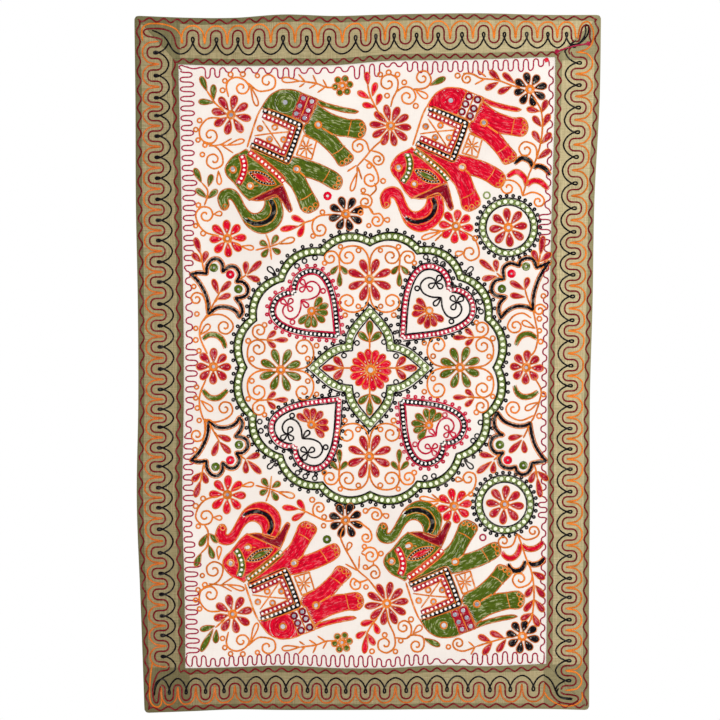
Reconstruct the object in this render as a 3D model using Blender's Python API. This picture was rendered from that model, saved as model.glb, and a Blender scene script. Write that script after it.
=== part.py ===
"""An embroidered cotton wall hanging: one ground cloth, four mitred border strips and its sewn-on mirrors.

The hanging is upright. X runs across it, Z runs up it and its face looks along -Y. The origin is the
middle of its top edge, so every height is minus the drop from there. Metres throughout.
"""

import math
from collections import namedtuple

import bmesh
import bpy
from mathutils import Vector

CM = 0.01
MM = 0.001

# Cloth, as cut and folded.
GROUND_THICK = 1.0 * MM
STRIP_THICK = 1.0 * MM
STRIP_WIDTH = 9.6 * CM  # finished width of a border strip, edge to edge
HEM_WIDTH = 14.0 * MM  # turned under along both long edges of a strip
FOLD_SLOT = 0.3 * MM  # air between a hem and the strip in front of it
PIECE_GAP = 0.3 * MM  # air between two pieces that touch
LAP = 12.0 * MM  # how far the ground cloth runs in behind a strip
STRIP_SAG = 0.8 * MM  # the single layer between the hems lies a little deeper
CORNER_ROUND = 9.0 * MM  # radius of the hanging's outer corners
MITRE_GAP = 0.25 * MM  # each strip is this much short of the mitre line

# Mirrors.
MIRROR_THICK = 1.0 * MM
MIRROR_SIDES = 12
MIRROR_GAP = 0.35 * MM

# How finely the cloth is cut into faces.
GROUND_COLUMNS = 26
GROUND_ROWS = 40
END_STRIP_PARTS = 26
SIDE_STRIP_PARTS = 38

# The hanging's uneven outline, in centimetres. Heights are drops below the origin.
SideRow = namedtuple("SideRow", "drop left_out left_in right_in right_out")
SIDES = [
    SideRow(-0.2, -50.1, -40.9, 40.4, 50.2),
    SideRow(18.3, -49.9, -40.5, 40.3, 49.9),
    SideRow(39.8, -49.8, -40.0, 39.7, 48.8),
    SideRow(61.3, -49.4, -39.6, 39.2, 48.4),
    SideRow(82.8, -49.3, -39.5, 38.8, 47.8),
    SideRow(104.3, -49.6, -39.8, 38.8, 47.8),
    SideRow(125.8, -48.8, -39.3, 38.6, 47.6),
    SideRow(150.3, -47.9, -39.1, 38.3, 47.6),
]
EndRow = namedtuple("EndRow", "across top_out top_in bottom_in bottom_out")
ENDS = [
    EndRow(-50.1, 0.2, 10.1, 140.5, 150.1),
    EndRow(-38.2, 0.6, 10.7, 140.4, 149.6),
    EndRow(-28.5, 0.6, 10.9, 140.2, 149.2),
    EndRow(-18.2, -0.1, 10.9, 139.9, 149.4),
    EndRow(-7.0, 0.2, 10.8, 140.4, 149.4),
    EndRow(3.8, -0.1, 9.9, 140.4, 149.3),
    EndRow(15.6, -0.3, 9.7, 139.8, 149.2),
    EndRow(26.3, -0.3, 9.5, 140.0, 149.2),
    EndRow(38.2, 0.0, 9.1, 139.5, 149.2),
    EndRow(50.2, 0.0, 9.0, 139.3, 149.4),
]

# Soft ripples of the hung cloth: depth, wave lengths and start angle of each. A ripple's depth grows from
# its share at the top edge to the whole at the hem.
Ripple = namedtuple("Ripple", "depth across_wave down_wave start top_share")
RIPPLES = [
    Ripple(1.8 * MM, 46 * CM, 300 * CM, 0.6, 0.3),
    Ripple(1.1 * MM, 160 * CM, 62 * CM, 1.9, 1.0),
    Ripple(0.7 * MM, 27 * CM, -190 * CM, 3.0, 0.2),
]
# Places where the edge lifts towards the viewer.
Lift = namedtuple("Lift", "height across drop wide tall")
LIFTS = [
    Lift(7.0 * MM, -34 * CM, 152 * CM, 13 * CM, 9 * CM),
    Lift(4.0 * MM, 49 * CM, 146 * CM, 8 * CM, 14 * CM),
    Lift(3.0 * MM, -50 * CM, 2 * CM, 9 * CM, 12 * CM),
    Lift(2.5 * MM, 22 * CM, -1 * CM, 16 * CM, 7 * CM),
]

# Mirrors at the middles of flowers and fans, in centimetres.
FlowerMirror = namedtuple("FlowerMirror", "name across drop radius_mm")
FLOWER_MIRRORS = [
    FlowerMirror("top_left_maroon", -29.3, 21.5, 4.4),
    FlowerMirror("top_left_red", -30.1, 48.1, 3.6),
    FlowerMirror("top_black", -4.7, 42.8, 3.2),
    FlowerMirror("top_dots", -5.4, 15.2, 3.2),
    FlowerMirror("top_large", 5.0, 23.8, 4.0),
    FlowerMirror("top_right_black", 34.9, 16.0, 3.6),
    FlowerMirror("top_right_red", 19.0, 45.4, 4.2),
    FlowerMirror("top_right_wheel", 30.3, 45.7, 4.2),
    FlowerMirror("medallion_top", 0.4, 56.8, 3.6),
    FlowerMirror("medallion_left", -18.6, 76.3, 3.4),
    FlowerMirror("medallion_middle", 0.6, 76.3, 4.0),
    FlowerMirror("medallion_right", 19.9, 75.8, 4.0),
    FlowerMirror("medallion_bottom", 0.4, 94.9, 3.6),
    FlowerMirror("left_maroon", -33.1, 75.6, 3.8),
    FlowerMirror("right_maroon", 34.1, 75.8, 3.8),
    FlowerMirror("fan_top_left", -12.0, 63.6, 3.4),
    FlowerMirror("fan_top_right", 13.3, 63.6, 4.4),
    FlowerMirror("fan_bottom_left", -12.1, 88.1, 3.4),
    FlowerMirror("fan_bottom_right", 13.2, 88.2, 3.6),
    FlowerMirror("bottom_left_red", -30.1, 103.1, 3.6),
    FlowerMirror("bottom_black", -4.7, 108.6, 3.4),
    FlowerMirror("bottom_left_maroon", -29.0, 128.8, 3.4),
    FlowerMirror("bottom_dots", -5.5, 134.9, 3.4),
    FlowerMirror("bottom_large", 4.2, 126.5, 4.0),
    FlowerMirror("bottom_right_red", 18.6, 105.6, 4.0),
    FlowerMirror("bottom_right_wheel", 29.5, 105.2, 4.2),
    FlowerMirror("bottom_right_black", 33.3, 133.6, 4.0),
]

# Mirrors on an elephant, in centimetres across and down from the one on its back, and where the four
# elephants have that one. The lower two are turned upside down and a little shorter.
ElephantMirror = namedtuple("ElephantMirror", "name across drop radius_mm")
ELEPHANT_MIRRORS = [
    ElephantMirror("back", 0.0, 0.0, 5.4),
    ElephantMirror("hind_leg", 7.1, 4.7, 4.0),
    ElephantMirror("fore_leg", 2.2, 14.3, 4.0),
    ElephantMirror("head", -11.3, 14.2, 4.0),
    ElephantMirror("cheek", -7.9, 17.9, 4.0),
]
Elephant = namedtuple("Elephant", "name across drop down_scale")
ELEPHANTS = [
    Elephant("top_left", -17.7, 18.8, 1.0),
    Elephant("top_right", 17.9, 18.4, 1.0),
    Elephant("bottom_left", -18.2, 131.5, -0.95),
    Elephant("bottom_right", 16.4, 131.2, -0.95),
]


def row_value(rows, column, at):
    """The table's column at a place between rows, on a smooth cubic through the rows (metres in and out)."""
    at = at / CM
    places = [row[0] for row in rows]
    values = [getattr(row, column) for row in rows]
    at = min(max(at, places[0]), places[-1])
    k = next((i for i in range(len(rows) - 2) if at < places[i + 1]), len(rows) - 2)

    def slope(i):
        a, b = max(i - 1, 0), min(i + 1, len(rows) - 1)
        return (values[b] - values[a]) / (places[b] - places[a])

    span = places[k + 1] - places[k]
    t = (at - places[k]) / span
    start, end = values[k], values[k + 1]
    rise_start, rise_end = slope(k) * span, slope(k + 1) * span
    curve = (
        start
        + t * rise_start
        + t * t * (3 * (end - start) - 2 * rise_start - rise_end)
        + t**3 * (2 * (start - end) + rise_start + rise_end)
    )
    return curve * CM


def ripple_depth(across, drop):
    """How far behind the plane Y = 0 the hung cloth's middle lies at a place."""
    depth = 0.0
    for ripple in RIPPLES:
        angle = across / ripple.across_wave + drop / ripple.down_wave
        share = ripple.top_share + (1 - ripple.top_share) * drop / (150 * CM)
        depth += ripple.depth * share * math.sin(2 * math.pi * angle + ripple.start)
    for lift in LIFTS:
        reach = ((across - lift.across) / lift.wide) ** 2 + ((drop - lift.drop) / lift.tall) ** 2
        depth -= lift.height * math.exp(-reach)
    return depth


def on_cloth(across, drop, behind):
    """The point of space for a place on the cloth, behind its middle surface by a distance."""
    return Vector((across, ripple_depth(across, drop) + behind, -drop))


def crossing(side, end):
    """Where a side edge and an end edge cross, as (across, drop)."""
    drop = row_value(ENDS, end, 0)
    for _ in range(4):
        across = row_value(SIDES, side, drop)
        drop = row_value(ENDS, end, across)
    return across, drop


def paint(name, colour, roughness, metallic=0.0):
    """A plain material."""
    material = bpy.data.materials.new(name)
    material.use_nodes = True
    shader = material.node_tree.nodes["Principled BSDF"]
    shader.inputs["Base Color"].default_value = (*colour, 1.0)
    shader.inputs["Roughness"].default_value = roughness
    shader.inputs["Metallic"].default_value = metallic
    return material


def add_object(name, bm, material, parent):
    """Turns the bmesh into a named object with faces outwards."""
    bmesh.ops.recalc_face_normals(bm, faces=bm.faces)
    mesh = bpy.data.meshes.new(name)
    bm.to_mesh(mesh)
    bm.free()
    mesh.materials.append(material)
    made = bpy.data.objects.new(name, mesh)
    made.parent = parent
    bpy.context.scene.collection.objects.link(made)
    return made


def ground_place(u, v):
    """The ground cloth's place at shares u across and v down, out to its raw edges behind the strips."""
    across, drop = 0.0, 0.75
    for _ in range(4):
        left = row_value(SIDES, "left_in", drop) - LAP
        right = row_value(SIDES, "right_in", drop) + LAP
        top = row_value(ENDS, "top_in", across) - LAP
        bottom = row_value(ENDS, "bottom_in", across) + LAP
        across = left + u * (right - left)
        drop = top + v * (bottom - top)
    return across, drop


def make_ground_cloth(material, parent):
    """The cream ground: a grid shaped to the outline and ripples, given its thickness by Solidify."""
    bm = bmesh.new()
    bmesh.ops.create_grid(bm, x_segments=GROUND_COLUMNS, y_segments=GROUND_ROWS, size=0.5)
    for vertex in bm.verts:
        across, drop = ground_place(vertex.co.x + 0.5, 0.5 - vertex.co.y)
        vertex.co = on_cloth(across, drop, 0.0)
    cloth = add_object("ground_cloth", bm, material, parent)
    solidify = cloth.modifiers.new("thickness", "SOLIDIFY")
    solidify.thickness = GROUND_THICK
    solidify.offset = 0.0
    return cloth


def strip_section():
    """The cross-section of a border strip, as (distance from its outer edge, distance behind the middle
    surface). The strip runs in front, turns under at both edges, and each hem ends in a raw edge."""
    hem_back = -(GROUND_THICK / 2 + PIECE_GAP)
    hem_front = hem_back - STRIP_THICK
    strip_back = hem_front - FOLD_SLOT
    strip_front = strip_back - STRIP_THICK
    fold = (hem_back - strip_front) / 2
    shoulder = 0.3 * fold
    inside = 1.2 * MM
    middle = STRIP_WIDTH / 2
    half = [
        (middle, strip_front + STRIP_SAG),
        (HEM_WIDTH * 1.6, strip_front + STRIP_SAG * 0.8),
        (HEM_WIDTH, strip_front),
        (shoulder * 2, strip_front),
        (0.0, strip_front + fold * 0.7),
        (0.0, hem_back - fold * 0.7),
        (shoulder * 2, hem_back),
        (HEM_WIDTH, hem_back),
        (HEM_WIDTH, hem_front),
        (inside, hem_front),
        (inside, strip_back),
        (HEM_WIDTH, strip_back),
        (HEM_WIDTH * 1.6, strip_back + STRIP_SAG * 0.8),
        (middle, strip_back + STRIP_SAG),
    ]
    other_half = [(STRIP_WIDTH - distance, behind) for distance, behind in half[-2:0:-1]]
    return half + other_half


def strip_stations(parts):
    """Shares along a strip, from mitre to mitre, closer together where the corners are rounded."""
    near_end = [0.0, 0.006, 0.018]
    middle = [(k + 1.0) / parts for k in range(parts - 1)]
    return near_end + middle + [1.0 - share for share in reversed(near_end)]


def rounded(distance):
    """How far the outer edge turns in at a distance from the corner, for a rounded corner."""
    if distance >= CORNER_ROUND:
        return 0.0
    return CORNER_ROUND - math.sqrt(CORNER_ROUND**2 - (CORNER_ROUND - distance) ** 2)


def end_strip_edges(end, share):
    """Outer and inner places, as (across, drop), of the top or bottom strip at a share of its length."""
    inwards = 1 if end == "top" else -1
    left_out, _ = crossing("left_out", end + "_out")
    right_out, _ = crossing("right_out", end + "_out")
    left_in, _ = crossing("left_in", end + "_in")
    right_in, _ = crossing("right_in", end + "_in")
    turn = CORNER_ROUND * (1 - math.sqrt(0.5))
    start, stop = left_out + turn + MITRE_GAP, right_out - turn - MITRE_GAP
    outer = start + share * (stop - start)
    corner = min(outer - left_out, right_out - outer)
    outer_drop = row_value(ENDS, end + "_out", outer) + inwards * rounded(corner)
    start, stop = left_in + MITRE_GAP, right_in - MITRE_GAP
    inner = start + share * (stop - start)
    return (outer, outer_drop), (inner, row_value(ENDS, end + "_in", inner))


def side_strip_edges(side, share):
    """Outer and inner places, as (across, drop), of the left or right strip at a share of its length."""
    inwards = 1 if side == "left" else -1
    _, top_out = crossing(side + "_out", "top_out")
    _, bottom_out = crossing(side + "_out", "bottom_out")
    _, top_in = crossing(side + "_in", "top_in")
    _, bottom_in = crossing(side + "_in", "bottom_in")
    turn = CORNER_ROUND * (1 - math.sqrt(0.5))
    start, stop = top_out + turn + MITRE_GAP, bottom_out - turn - MITRE_GAP
    outer = start + share * (stop - start)
    corner = min(outer - top_out, bottom_out - outer)
    outer_across = row_value(SIDES, side + "_out", outer) + inwards * rounded(corner)
    start, stop = top_in + MITRE_GAP, bottom_in - MITRE_GAP
    inner = start + share * (stop - start)
    return (outer_across, outer), (row_value(SIDES, side + "_in", inner), inner)


def make_strip(name, edges, which, parts, material, parent):
    """A border strip: its cross-section carried from mitre to mitre between the outer and inner edge."""
    section = strip_section()
    bm = bmesh.new()
    rings = []
    for share in strip_stations(parts):
        (out_x, out_drop), (in_x, in_drop) = edges(which, share)
        ring = []
        for distance, behind in section:
            t = distance / STRIP_WIDTH
            across = out_x + t * (in_x - out_x)
            drop = out_drop + t * (in_drop - out_drop)
            ring.append(bm.verts.new(on_cloth(across, drop, behind)))
        rings.append(ring)
    for ring, following in zip(rings, rings[1:]):
        for k in range(len(ring)):
            n = (k + 1) % len(ring)
            bm.faces.new((ring[k], ring[n], following[n], following[k]))
    bm.faces.new(rings[0])
    bm.faces.new(list(reversed(rings[-1])))
    return add_object(name, bm, material, parent)


def make_mirror(name, across, drop, radius, material, parent):
    """A small round mirror lying on the ground cloth, turned to the cloth's slope there."""
    bm = bmesh.new()
    bmesh.ops.create_cone(
        bm,
        cap_ends=True,
        segments=MIRROR_SIDES,
        radius1=radius,
        radius2=radius * 0.94,
        depth=MIRROR_THICK,
    )
    mirror = add_object(name, bm, material, parent)
    step = 5 * MM
    lean_across = ripple_depth(across + step, drop) - ripple_depth(across - step, drop)
    lean_down = ripple_depth(across, drop + step) - ripple_depth(across, drop - step)
    facing = Vector((lean_across, -2 * step, -lean_down)).normalized()
    behind = GROUND_THICK / 2 + MIRROR_GAP + MIRROR_THICK / 2
    mirror.rotation_mode = "QUATERNION"
    mirror.rotation_quaternion = facing.to_track_quat("Z", "X")
    mirror.location = on_cloth(across, drop, 0.0) + facing * behind
    return mirror


def make_mirrors(material, parent):
    """The mirrors of the flowers, then those of the elephants."""
    for row in FLOWER_MIRRORS:
        name = "mirror_" + row.name
        make_mirror(name, row.across * CM, row.drop * CM, row.radius_mm * MM, material, parent)
    for elephant in ELEPHANTS:
        for row in ELEPHANT_MIRRORS:
            name = f"mirror_elephant_{elephant.name}_{row.name}"
            across = (elephant.across + row.across) * CM
            drop = (elephant.drop + row.drop * elephant.down_scale) * CM
            make_mirror(name, across, drop, row.radius_mm * MM, material, parent)


def main():
    for old in list(bpy.data.objects):
        bpy.data.objects.remove(old)
    cream = paint("cream_cotton", (0.88, 0.82, 0.76), 0.9)
    olive = paint("olive_cotton", (0.32, 0.27, 0.13), 0.9)
    glass = paint("mirror_glass", (0.62, 0.64, 0.68), 0.15, 0.9)
    hanging = bpy.data.objects.new("hanging", None)
    bpy.context.scene.collection.objects.link(hanging)
    make_ground_cloth(cream, hanging)
    make_strip("border_top", end_strip_edges, "top", END_STRIP_PARTS, olive, hanging)
    make_strip("border_bottom", end_strip_edges, "bottom", END_STRIP_PARTS, olive, hanging)
    make_strip("border_left", side_strip_edges, "left", SIDE_STRIP_PARTS, olive, hanging)
    make_strip("border_right", side_strip_edges, "right", SIDE_STRIP_PARTS, olive, hanging)
    make_mirrors(glass, hanging)


main()
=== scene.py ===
"""The looks of an embroidered cotton wall hanging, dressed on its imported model.

The hanging is upright: X runs across, Z up, and the stitched face looks along -Y. The origin is the middle of
the top edge, so a height is minus the drop from there. Every strand is a closed flat tube that lies on the
cloth's front. Motifs are drawn by rules from places on the hanging, in the photograph's pixels (PX each).
"""

from collections import defaultdict, namedtuple

import bpy
import numpy as np
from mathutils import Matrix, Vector


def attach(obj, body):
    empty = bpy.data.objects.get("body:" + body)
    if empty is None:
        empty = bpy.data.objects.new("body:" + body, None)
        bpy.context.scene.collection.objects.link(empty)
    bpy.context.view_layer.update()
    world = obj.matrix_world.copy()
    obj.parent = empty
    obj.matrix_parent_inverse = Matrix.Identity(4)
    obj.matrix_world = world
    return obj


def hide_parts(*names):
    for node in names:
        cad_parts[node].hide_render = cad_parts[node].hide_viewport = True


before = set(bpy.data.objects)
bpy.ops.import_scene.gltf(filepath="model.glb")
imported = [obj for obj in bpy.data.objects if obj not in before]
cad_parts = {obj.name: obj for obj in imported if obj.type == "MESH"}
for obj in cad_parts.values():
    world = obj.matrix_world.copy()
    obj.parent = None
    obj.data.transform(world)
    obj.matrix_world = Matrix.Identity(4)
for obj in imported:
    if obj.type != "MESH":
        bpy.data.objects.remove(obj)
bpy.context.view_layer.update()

CM = 0.01
MM = 0.001
TURN = 2 * np.pi
rng = np.random.default_rng(7)

# The photograph's scale: a pixel's real size, and the pixel of the hanging's origin.
PX = 2.15 * MM
ORIGIN_PX = np.array([367.5, 15.0])
MIRROR_LINE_PX = 367.5  # the lower half repeats the upper one, turned over this height

# Cloth, as cut and folded, and as the model has it.
GROUND_THICK = 1.0 * MM
STRIP_THICK = 1.0 * MM
STRIP_WIDTH = 9.6 * CM
HEM_WIDTH = 14.0 * MM
FOLD_SLOT = 0.3 * MM
PIECE_GAP = 0.3 * MM
LAP = 12.0 * MM
STRIP_SAG = 0.8 * MM
CORNER_ROUND = 9.0 * MM
MITRE_GAP = 0.02 * MM

SideRow = namedtuple("SideRow", "drop left_out left_in right_in right_out")
SIDES = [
    SideRow(-0.2, -50.1, -40.9, 40.4, 50.2),
    SideRow(18.3, -49.9, -40.5, 40.3, 49.9),
    SideRow(39.8, -49.8, -40.0, 39.7, 48.8),
    SideRow(61.3, -49.4, -39.6, 39.2, 48.4),
    SideRow(82.8, -49.3, -39.5, 38.8, 47.8),
    SideRow(104.3, -49.6, -39.8, 38.8, 47.8),
    SideRow(125.8, -48.8, -39.3, 38.6, 47.6),
    SideRow(150.3, -47.9, -39.1, 38.3, 47.6),
]
EndRow = namedtuple("EndRow", "across top_out top_in bottom_in bottom_out")
ENDS = [
    EndRow(-50.1, 0.2, 10.1, 140.5, 150.1),
    EndRow(-38.2, 0.6, 10.7, 140.4, 149.6),
    EndRow(-28.5, 0.6, 10.9, 140.2, 149.2),
    EndRow(-18.2, -0.1, 10.9, 139.9, 149.4),
    EndRow(-7.0, 0.2, 10.8, 140.4, 149.4),
    EndRow(3.8, -0.1, 9.9, 140.4, 149.3),
    EndRow(15.6, -0.3, 9.7, 139.8, 149.2),
    EndRow(26.3, -0.3, 9.5, 140.0, 149.2),
    EndRow(38.2, 0.0, 9.1, 139.5, 149.2),
    EndRow(50.2, 0.0, 9.0, 139.3, 149.4),
]
Ripple = namedtuple("Ripple", "depth across_wave down_wave start top_share")
RIPPLES = [
    Ripple(1.8 * MM, 46 * CM, 300 * CM, 0.6, 0.3),
    Ripple(1.1 * MM, 160 * CM, 62 * CM, 1.9, 1.0),
    Ripple(0.7 * MM, 27 * CM, -190 * CM, 3.0, 0.2),
]
Lift = namedtuple("Lift", "height across drop wide tall")
LIFTS = [
    Lift(7.0 * MM, -34 * CM, 152 * CM, 13 * CM, 9 * CM),
    Lift(4.0 * MM, 49 * CM, 146 * CM, 8 * CM, 14 * CM),
    Lift(3.0 * MM, -50 * CM, 2 * CM, 9 * CM, 12 * CM),
    Lift(2.5 * MM, 22 * CM, -1 * CM, 16 * CM, 7 * CM),
]
# Small puckers that the stitching draws into the ground cloth.
Pucker = namedtuple("Pucker", "depth across_wave down_wave start")
PUCKERS = [
    Pucker(0.13 * MM, 41 * MM, 95 * MM, 0.4),
    Pucker(0.11 * MM, -67 * MM, 38 * MM, 2.2),
    Pucker(0.10 * MM, 29 * MM, -52 * MM, 4.0),
]

# In border shares: the puckers start just inside the strips and have their full depth this much further in.
PUCKERS_FROM = 1.05
PUCKERS_FADE = 0.4

# Thread colours as they look in even light, 0 to 255.
THREADS = {
    "orange": (248, 134, 44),
    "maroon": (152, 10, 36),
    "crimson": (190, 22, 48),
    "red": (238, 8, 48),
    "green": (88, 109, 26),
    "black": (20, 15, 22),
    "pale": (246, 252, 222),
    "white": (252, 246, 242),
    "rust": (128, 22, 32),
    "pink": (182, 34, 72),
    "rose": (216, 28, 66),
    "leaf": (146, 164, 94),
    "amber": (222, 114, 46),
}
# Cloth and glass colours, 0 to 255.
COTTON = {
    "cream": (234, 225, 217),
    "cream bright": (242, 234, 226),
    "cream slub": (224, 213, 203),
    "olive": (138, 127, 87),
    "olive bright": (210, 194, 148),
    "olive toned": (157, 140, 97),
    "doubled olive": (90, 90, 57),
    "doubled olive bright": (130, 127, 86),
    # The next two are painted light and painted shade on the strips: paler towards the right, darker towards
    # the left and the bottom.
    "olive faded": (232, 206, 158),
    "olive worn": (92, 76, 47),
}
# Mirror colours: dim and bright are a painted reflection, standing in for what each mirror reflects; clouded is
# the glass's own.
SILVER = {"dim": (142, 142, 156), "bright": (232, 228, 226), "clouded": (196, 190, 204)}

# A strand's width and how high it stands, by where it is used.
LINE = 4.2 * MM
BORDER_LINE = 3.9 * MM
EDGE_LINE = 3.3 * MM
RAIL_LINE = 3.0 * MM
LINE_HIGH = 1.15 * MM
LOW_LINE_HIGH = 1.0 * MM
FILL_HIGH = 0.85 * MM
BASE_HIGH = 0.5 * MM
ROW_PX = 1.55  # between the rows of a filling
STEP_PX = 0.6  # between the points of a drawn line
FILL = 4.3 * MM
SINK = 0.15 * MM


# The cloth's form

def column(table, name, at):
    """A table's column at places between its rows, in metres: a cubic through the rows, whose slope at a row
    is that of the line from the row before to the row after."""
    places = np.array([row[0] for row in table])
    values = np.array([getattr(row, name) for row in table])
    at = np.clip(np.asarray(at, float) / CM, places[0], places[-1])
    last = len(places) - 1
    before = np.maximum(np.arange(last + 1) - 1, 0)
    after = np.minimum(np.arange(last + 1) + 1, last)
    slope = (values[after] - values[before]) / (places[after] - places[before])
    k = np.clip(np.searchsorted(places, at, side="right") - 1, 0, last - 1)
    span = places[k + 1] - places[k]
    t = (at - places[k]) / span
    start, end = values[k], values[k + 1]
    rise, fall = slope[k] * span, slope[k + 1] * span
    square = 3 * (end - start) - 2 * rise - fall
    cube = 2 * (start - end) + rise + fall
    return (start + t * rise + t**2 * square + t**3 * cube) * CM


def ripple_depth(across, drop):
    """How far behind the plane Y = 0 the cloth's middle hangs: sine ripples summed, less the edge's lifts."""
    depth = 0.0
    for r in RIPPLES:
        share = r.top_share + (1 - r.top_share) * drop / (150 * CM)
        wave = across / r.across_wave + drop / r.down_wave
        depth = depth + r.depth * share * np.sin(TURN * wave + r.start)
    for lift in LIFTS:
        reach = ((across - lift.across) / lift.wide) ** 2 + ((drop - lift.drop) / lift.tall) ** 2
        depth = depth - lift.height * np.exp(-reach)
    return depth


def smoothstep(t):
    """0 below 0, 1 above 1 and an even S between."""
    t = np.clip(t, 0.0, 1.0)
    return t * t * (3 - 2 * t)


def border_share(across, drop):
    """0 on the outer edge, 1 on the strips' inner edge and more on the ground: the least of the four sides'."""
    shares = []
    for side in ("left", "right"):
        outer, inner = column(SIDES, side + "_out", drop), column(SIDES, side + "_in", drop)
        shares.append((across - outer) / (inner - outer))
    for end in ("top", "bottom"):
        outer, inner = column(ENDS, end + "_out", across), column(ENDS, end + "_in", across)
        shares.append((drop - outer) / (inner - outer))
    return np.min(shares, axis=0)


def pucker_depth(across, drop):
    """Small sine puckers, fading out towards the strips so that nothing pushes through them."""
    depth = 0.0
    for p in PUCKERS:
        wave = across / p.across_wave + drop / p.down_wave
        depth = depth + p.depth * np.sin(TURN * wave + p.start)
    return depth * smoothstep((border_share(across, drop) - PUCKERS_FROM) / PUCKERS_FADE)


HEM_BACK = -(GROUND_THICK / 2 + PIECE_GAP)
HEM_FRONT = HEM_BACK - STRIP_THICK
STRIP_BACK = HEM_FRONT - FOLD_SLOT
STRIP_FRONT = STRIP_BACK - STRIP_THICK


def sag(distance):
    """How much deeper a strip's single layer lies between its hems, at a distance from the outer edge."""
    inwards = np.minimum(distance, STRIP_WIDTH - distance)
    return STRIP_SAG * smoothstep((inwards - HEM_WIDTH) / (1.6 * HEM_WIDTH))


def front_depth(across, drop):
    """The Y of the hanging's front surface, on the strips as well as on the ground cloth."""
    share = border_share(across, drop)
    strip = STRIP_FRONT + sag(share * STRIP_WIDTH)
    ground = pucker_depth(across, drop) - GROUND_THICK / 2
    return ripple_depth(across, drop) + np.where(share < 1.0, strip, ground)


# Materials

def linear(colour, gain=1.0):
    """A 0 to 255 screen colour as the linear colour that a shader takes."""
    c = np.array(colour, float) / 255
    c = np.where(c <= 0.04045, c / 12.92, ((c + 0.055) / 1.055) ** 2.4) * gain
    return (*c.tolist(), 1.0)


class Graph:
    """Short calls for building a node tree."""

    def __init__(self, tree):
        self.tree = tree

    def node(self, kind, **settings):
        made = self.tree.nodes.new(kind)
        for key, value in settings.items():
            setattr(made, key, value)
        return made

    def feed(self, socket, value):
        if isinstance(value, bpy.types.NodeSocket):
            self.tree.links.new(value, socket)
        else:
            socket.default_value = value

    def math(self, operation, a, b=0.0):
        made = self.node("ShaderNodeMath", operation=operation)
        for socket, value in zip(made.inputs, (a, b)):
            self.feed(socket, value)
        return made.outputs[0]

    def plus(self, a, b):
        return self.math("ADD", a, b)

    def minus(self, a, b):
        return self.math("SUBTRACT", a, b)

    def times(self, a, b):
        return self.math("MULTIPLY", a, b)

    def split(self, vector):
        made = self.node("ShaderNodeSeparateXYZ")
        self.feed(made.inputs[0], vector)
        return made.outputs

    def mix(self, share, a, b, blend="MIX"):
        made = self.node("ShaderNodeMix", data_type="RGBA", blend_type=blend)
        for k, value in ((0, share), (6, a), (7, b)):  # by number: the colour sockets share their names
            self.feed(made.inputs[k], value)
        return made.outputs[2]

    def noise(self, vector, scale, detail=2.0, roughness=0.5):
        made = self.node("ShaderNodeTexNoise")
        self.feed(made.inputs["Vector"], vector)
        self.feed(made.inputs["Scale"], scale)
        self.feed(made.inputs["Detail"], detail)
        self.feed(made.inputs["Roughness"], roughness)
        return made.outputs["Fac"]

    def stretch(self, value, low, high):
        made = self.node("ShaderNodeMapRange", interpolation_type="SMOOTHSTEP")
        self.feed(made.inputs["Value"], value)
        self.feed(made.inputs["From Min"], low)
        self.feed(made.inputs["From Max"], high)
        return made.outputs["Result"]

    def scaled(self, vector, scale):
        made = self.node("ShaderNodeVectorMath", operation="MULTIPLY")
        self.feed(made.inputs[0], vector)
        made.inputs[1].default_value = scale
        return made.outputs[0]

    def group(self, tree, **values):
        made = self.node("ShaderNodeGroup", node_tree=tree)
        for key, value in values.items():
            self.feed(made.inputs[key], value)
        return made.outputs


def new_group(name, inputs, outputs):
    """An empty node group with named sockets; inputs are (name, kind, default), outputs (name, kind)."""
    tree = bpy.data.node_groups.new(name, "ShaderNodeTree")
    for label, kind, value in inputs:
        socket = tree.interface.new_socket(label, in_out="INPUT", socket_type=kind)
        if value is not None:
            socket.default_value = value
    for label, kind in outputs:
        tree.interface.new_socket(label, in_out="OUTPUT", socket_type=kind)
    graph = Graph(tree)
    return graph, graph.node("NodeGroupInput").outputs, graph.node("NodeGroupOutput").inputs


def chain_stitch_group():
    """Loops of a chain stitch along a strand. U runs over the strand and V counts stitches. Each stitch is a
    drop: its edge is where V, pushed back by the distance from the middle line, passes a whole number."""
    g, given, out = new_group(
        "chain stitch",
        [("UV", "NodeSocketVector", None), ("Depth", "NodeSocketFloat", 1.0)],
        [("Height", "NodeSocketFloat"), ("Groove", "NodeSocketFloat")],
    )
    parts = g.split(given["UV"])
    off_middle = g.math("ABSOLUTE", g.minus(parts["X"], 0.5))
    place = g.math("FRACT", g.minus(parts["Y"], g.times(off_middle, 0.9)))
    from_end = g.math("ABSOLUTE", g.minus(place, 0.5))
    end_groove = g.stretch(from_end, 0.34, 0.5)
    middle_groove = g.minus(1.0, g.stretch(off_middle, 0.0, 0.16))
    groove = g.math("MAXIMUM", end_groove, g.times(middle_groove, 0.75))
    g.feed(out["Groove"], g.times(groove, given["Depth"]))
    g.feed(out["Height"], g.minus(1.0, g.times(groove, given["Depth"])))
    return g.tree


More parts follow.
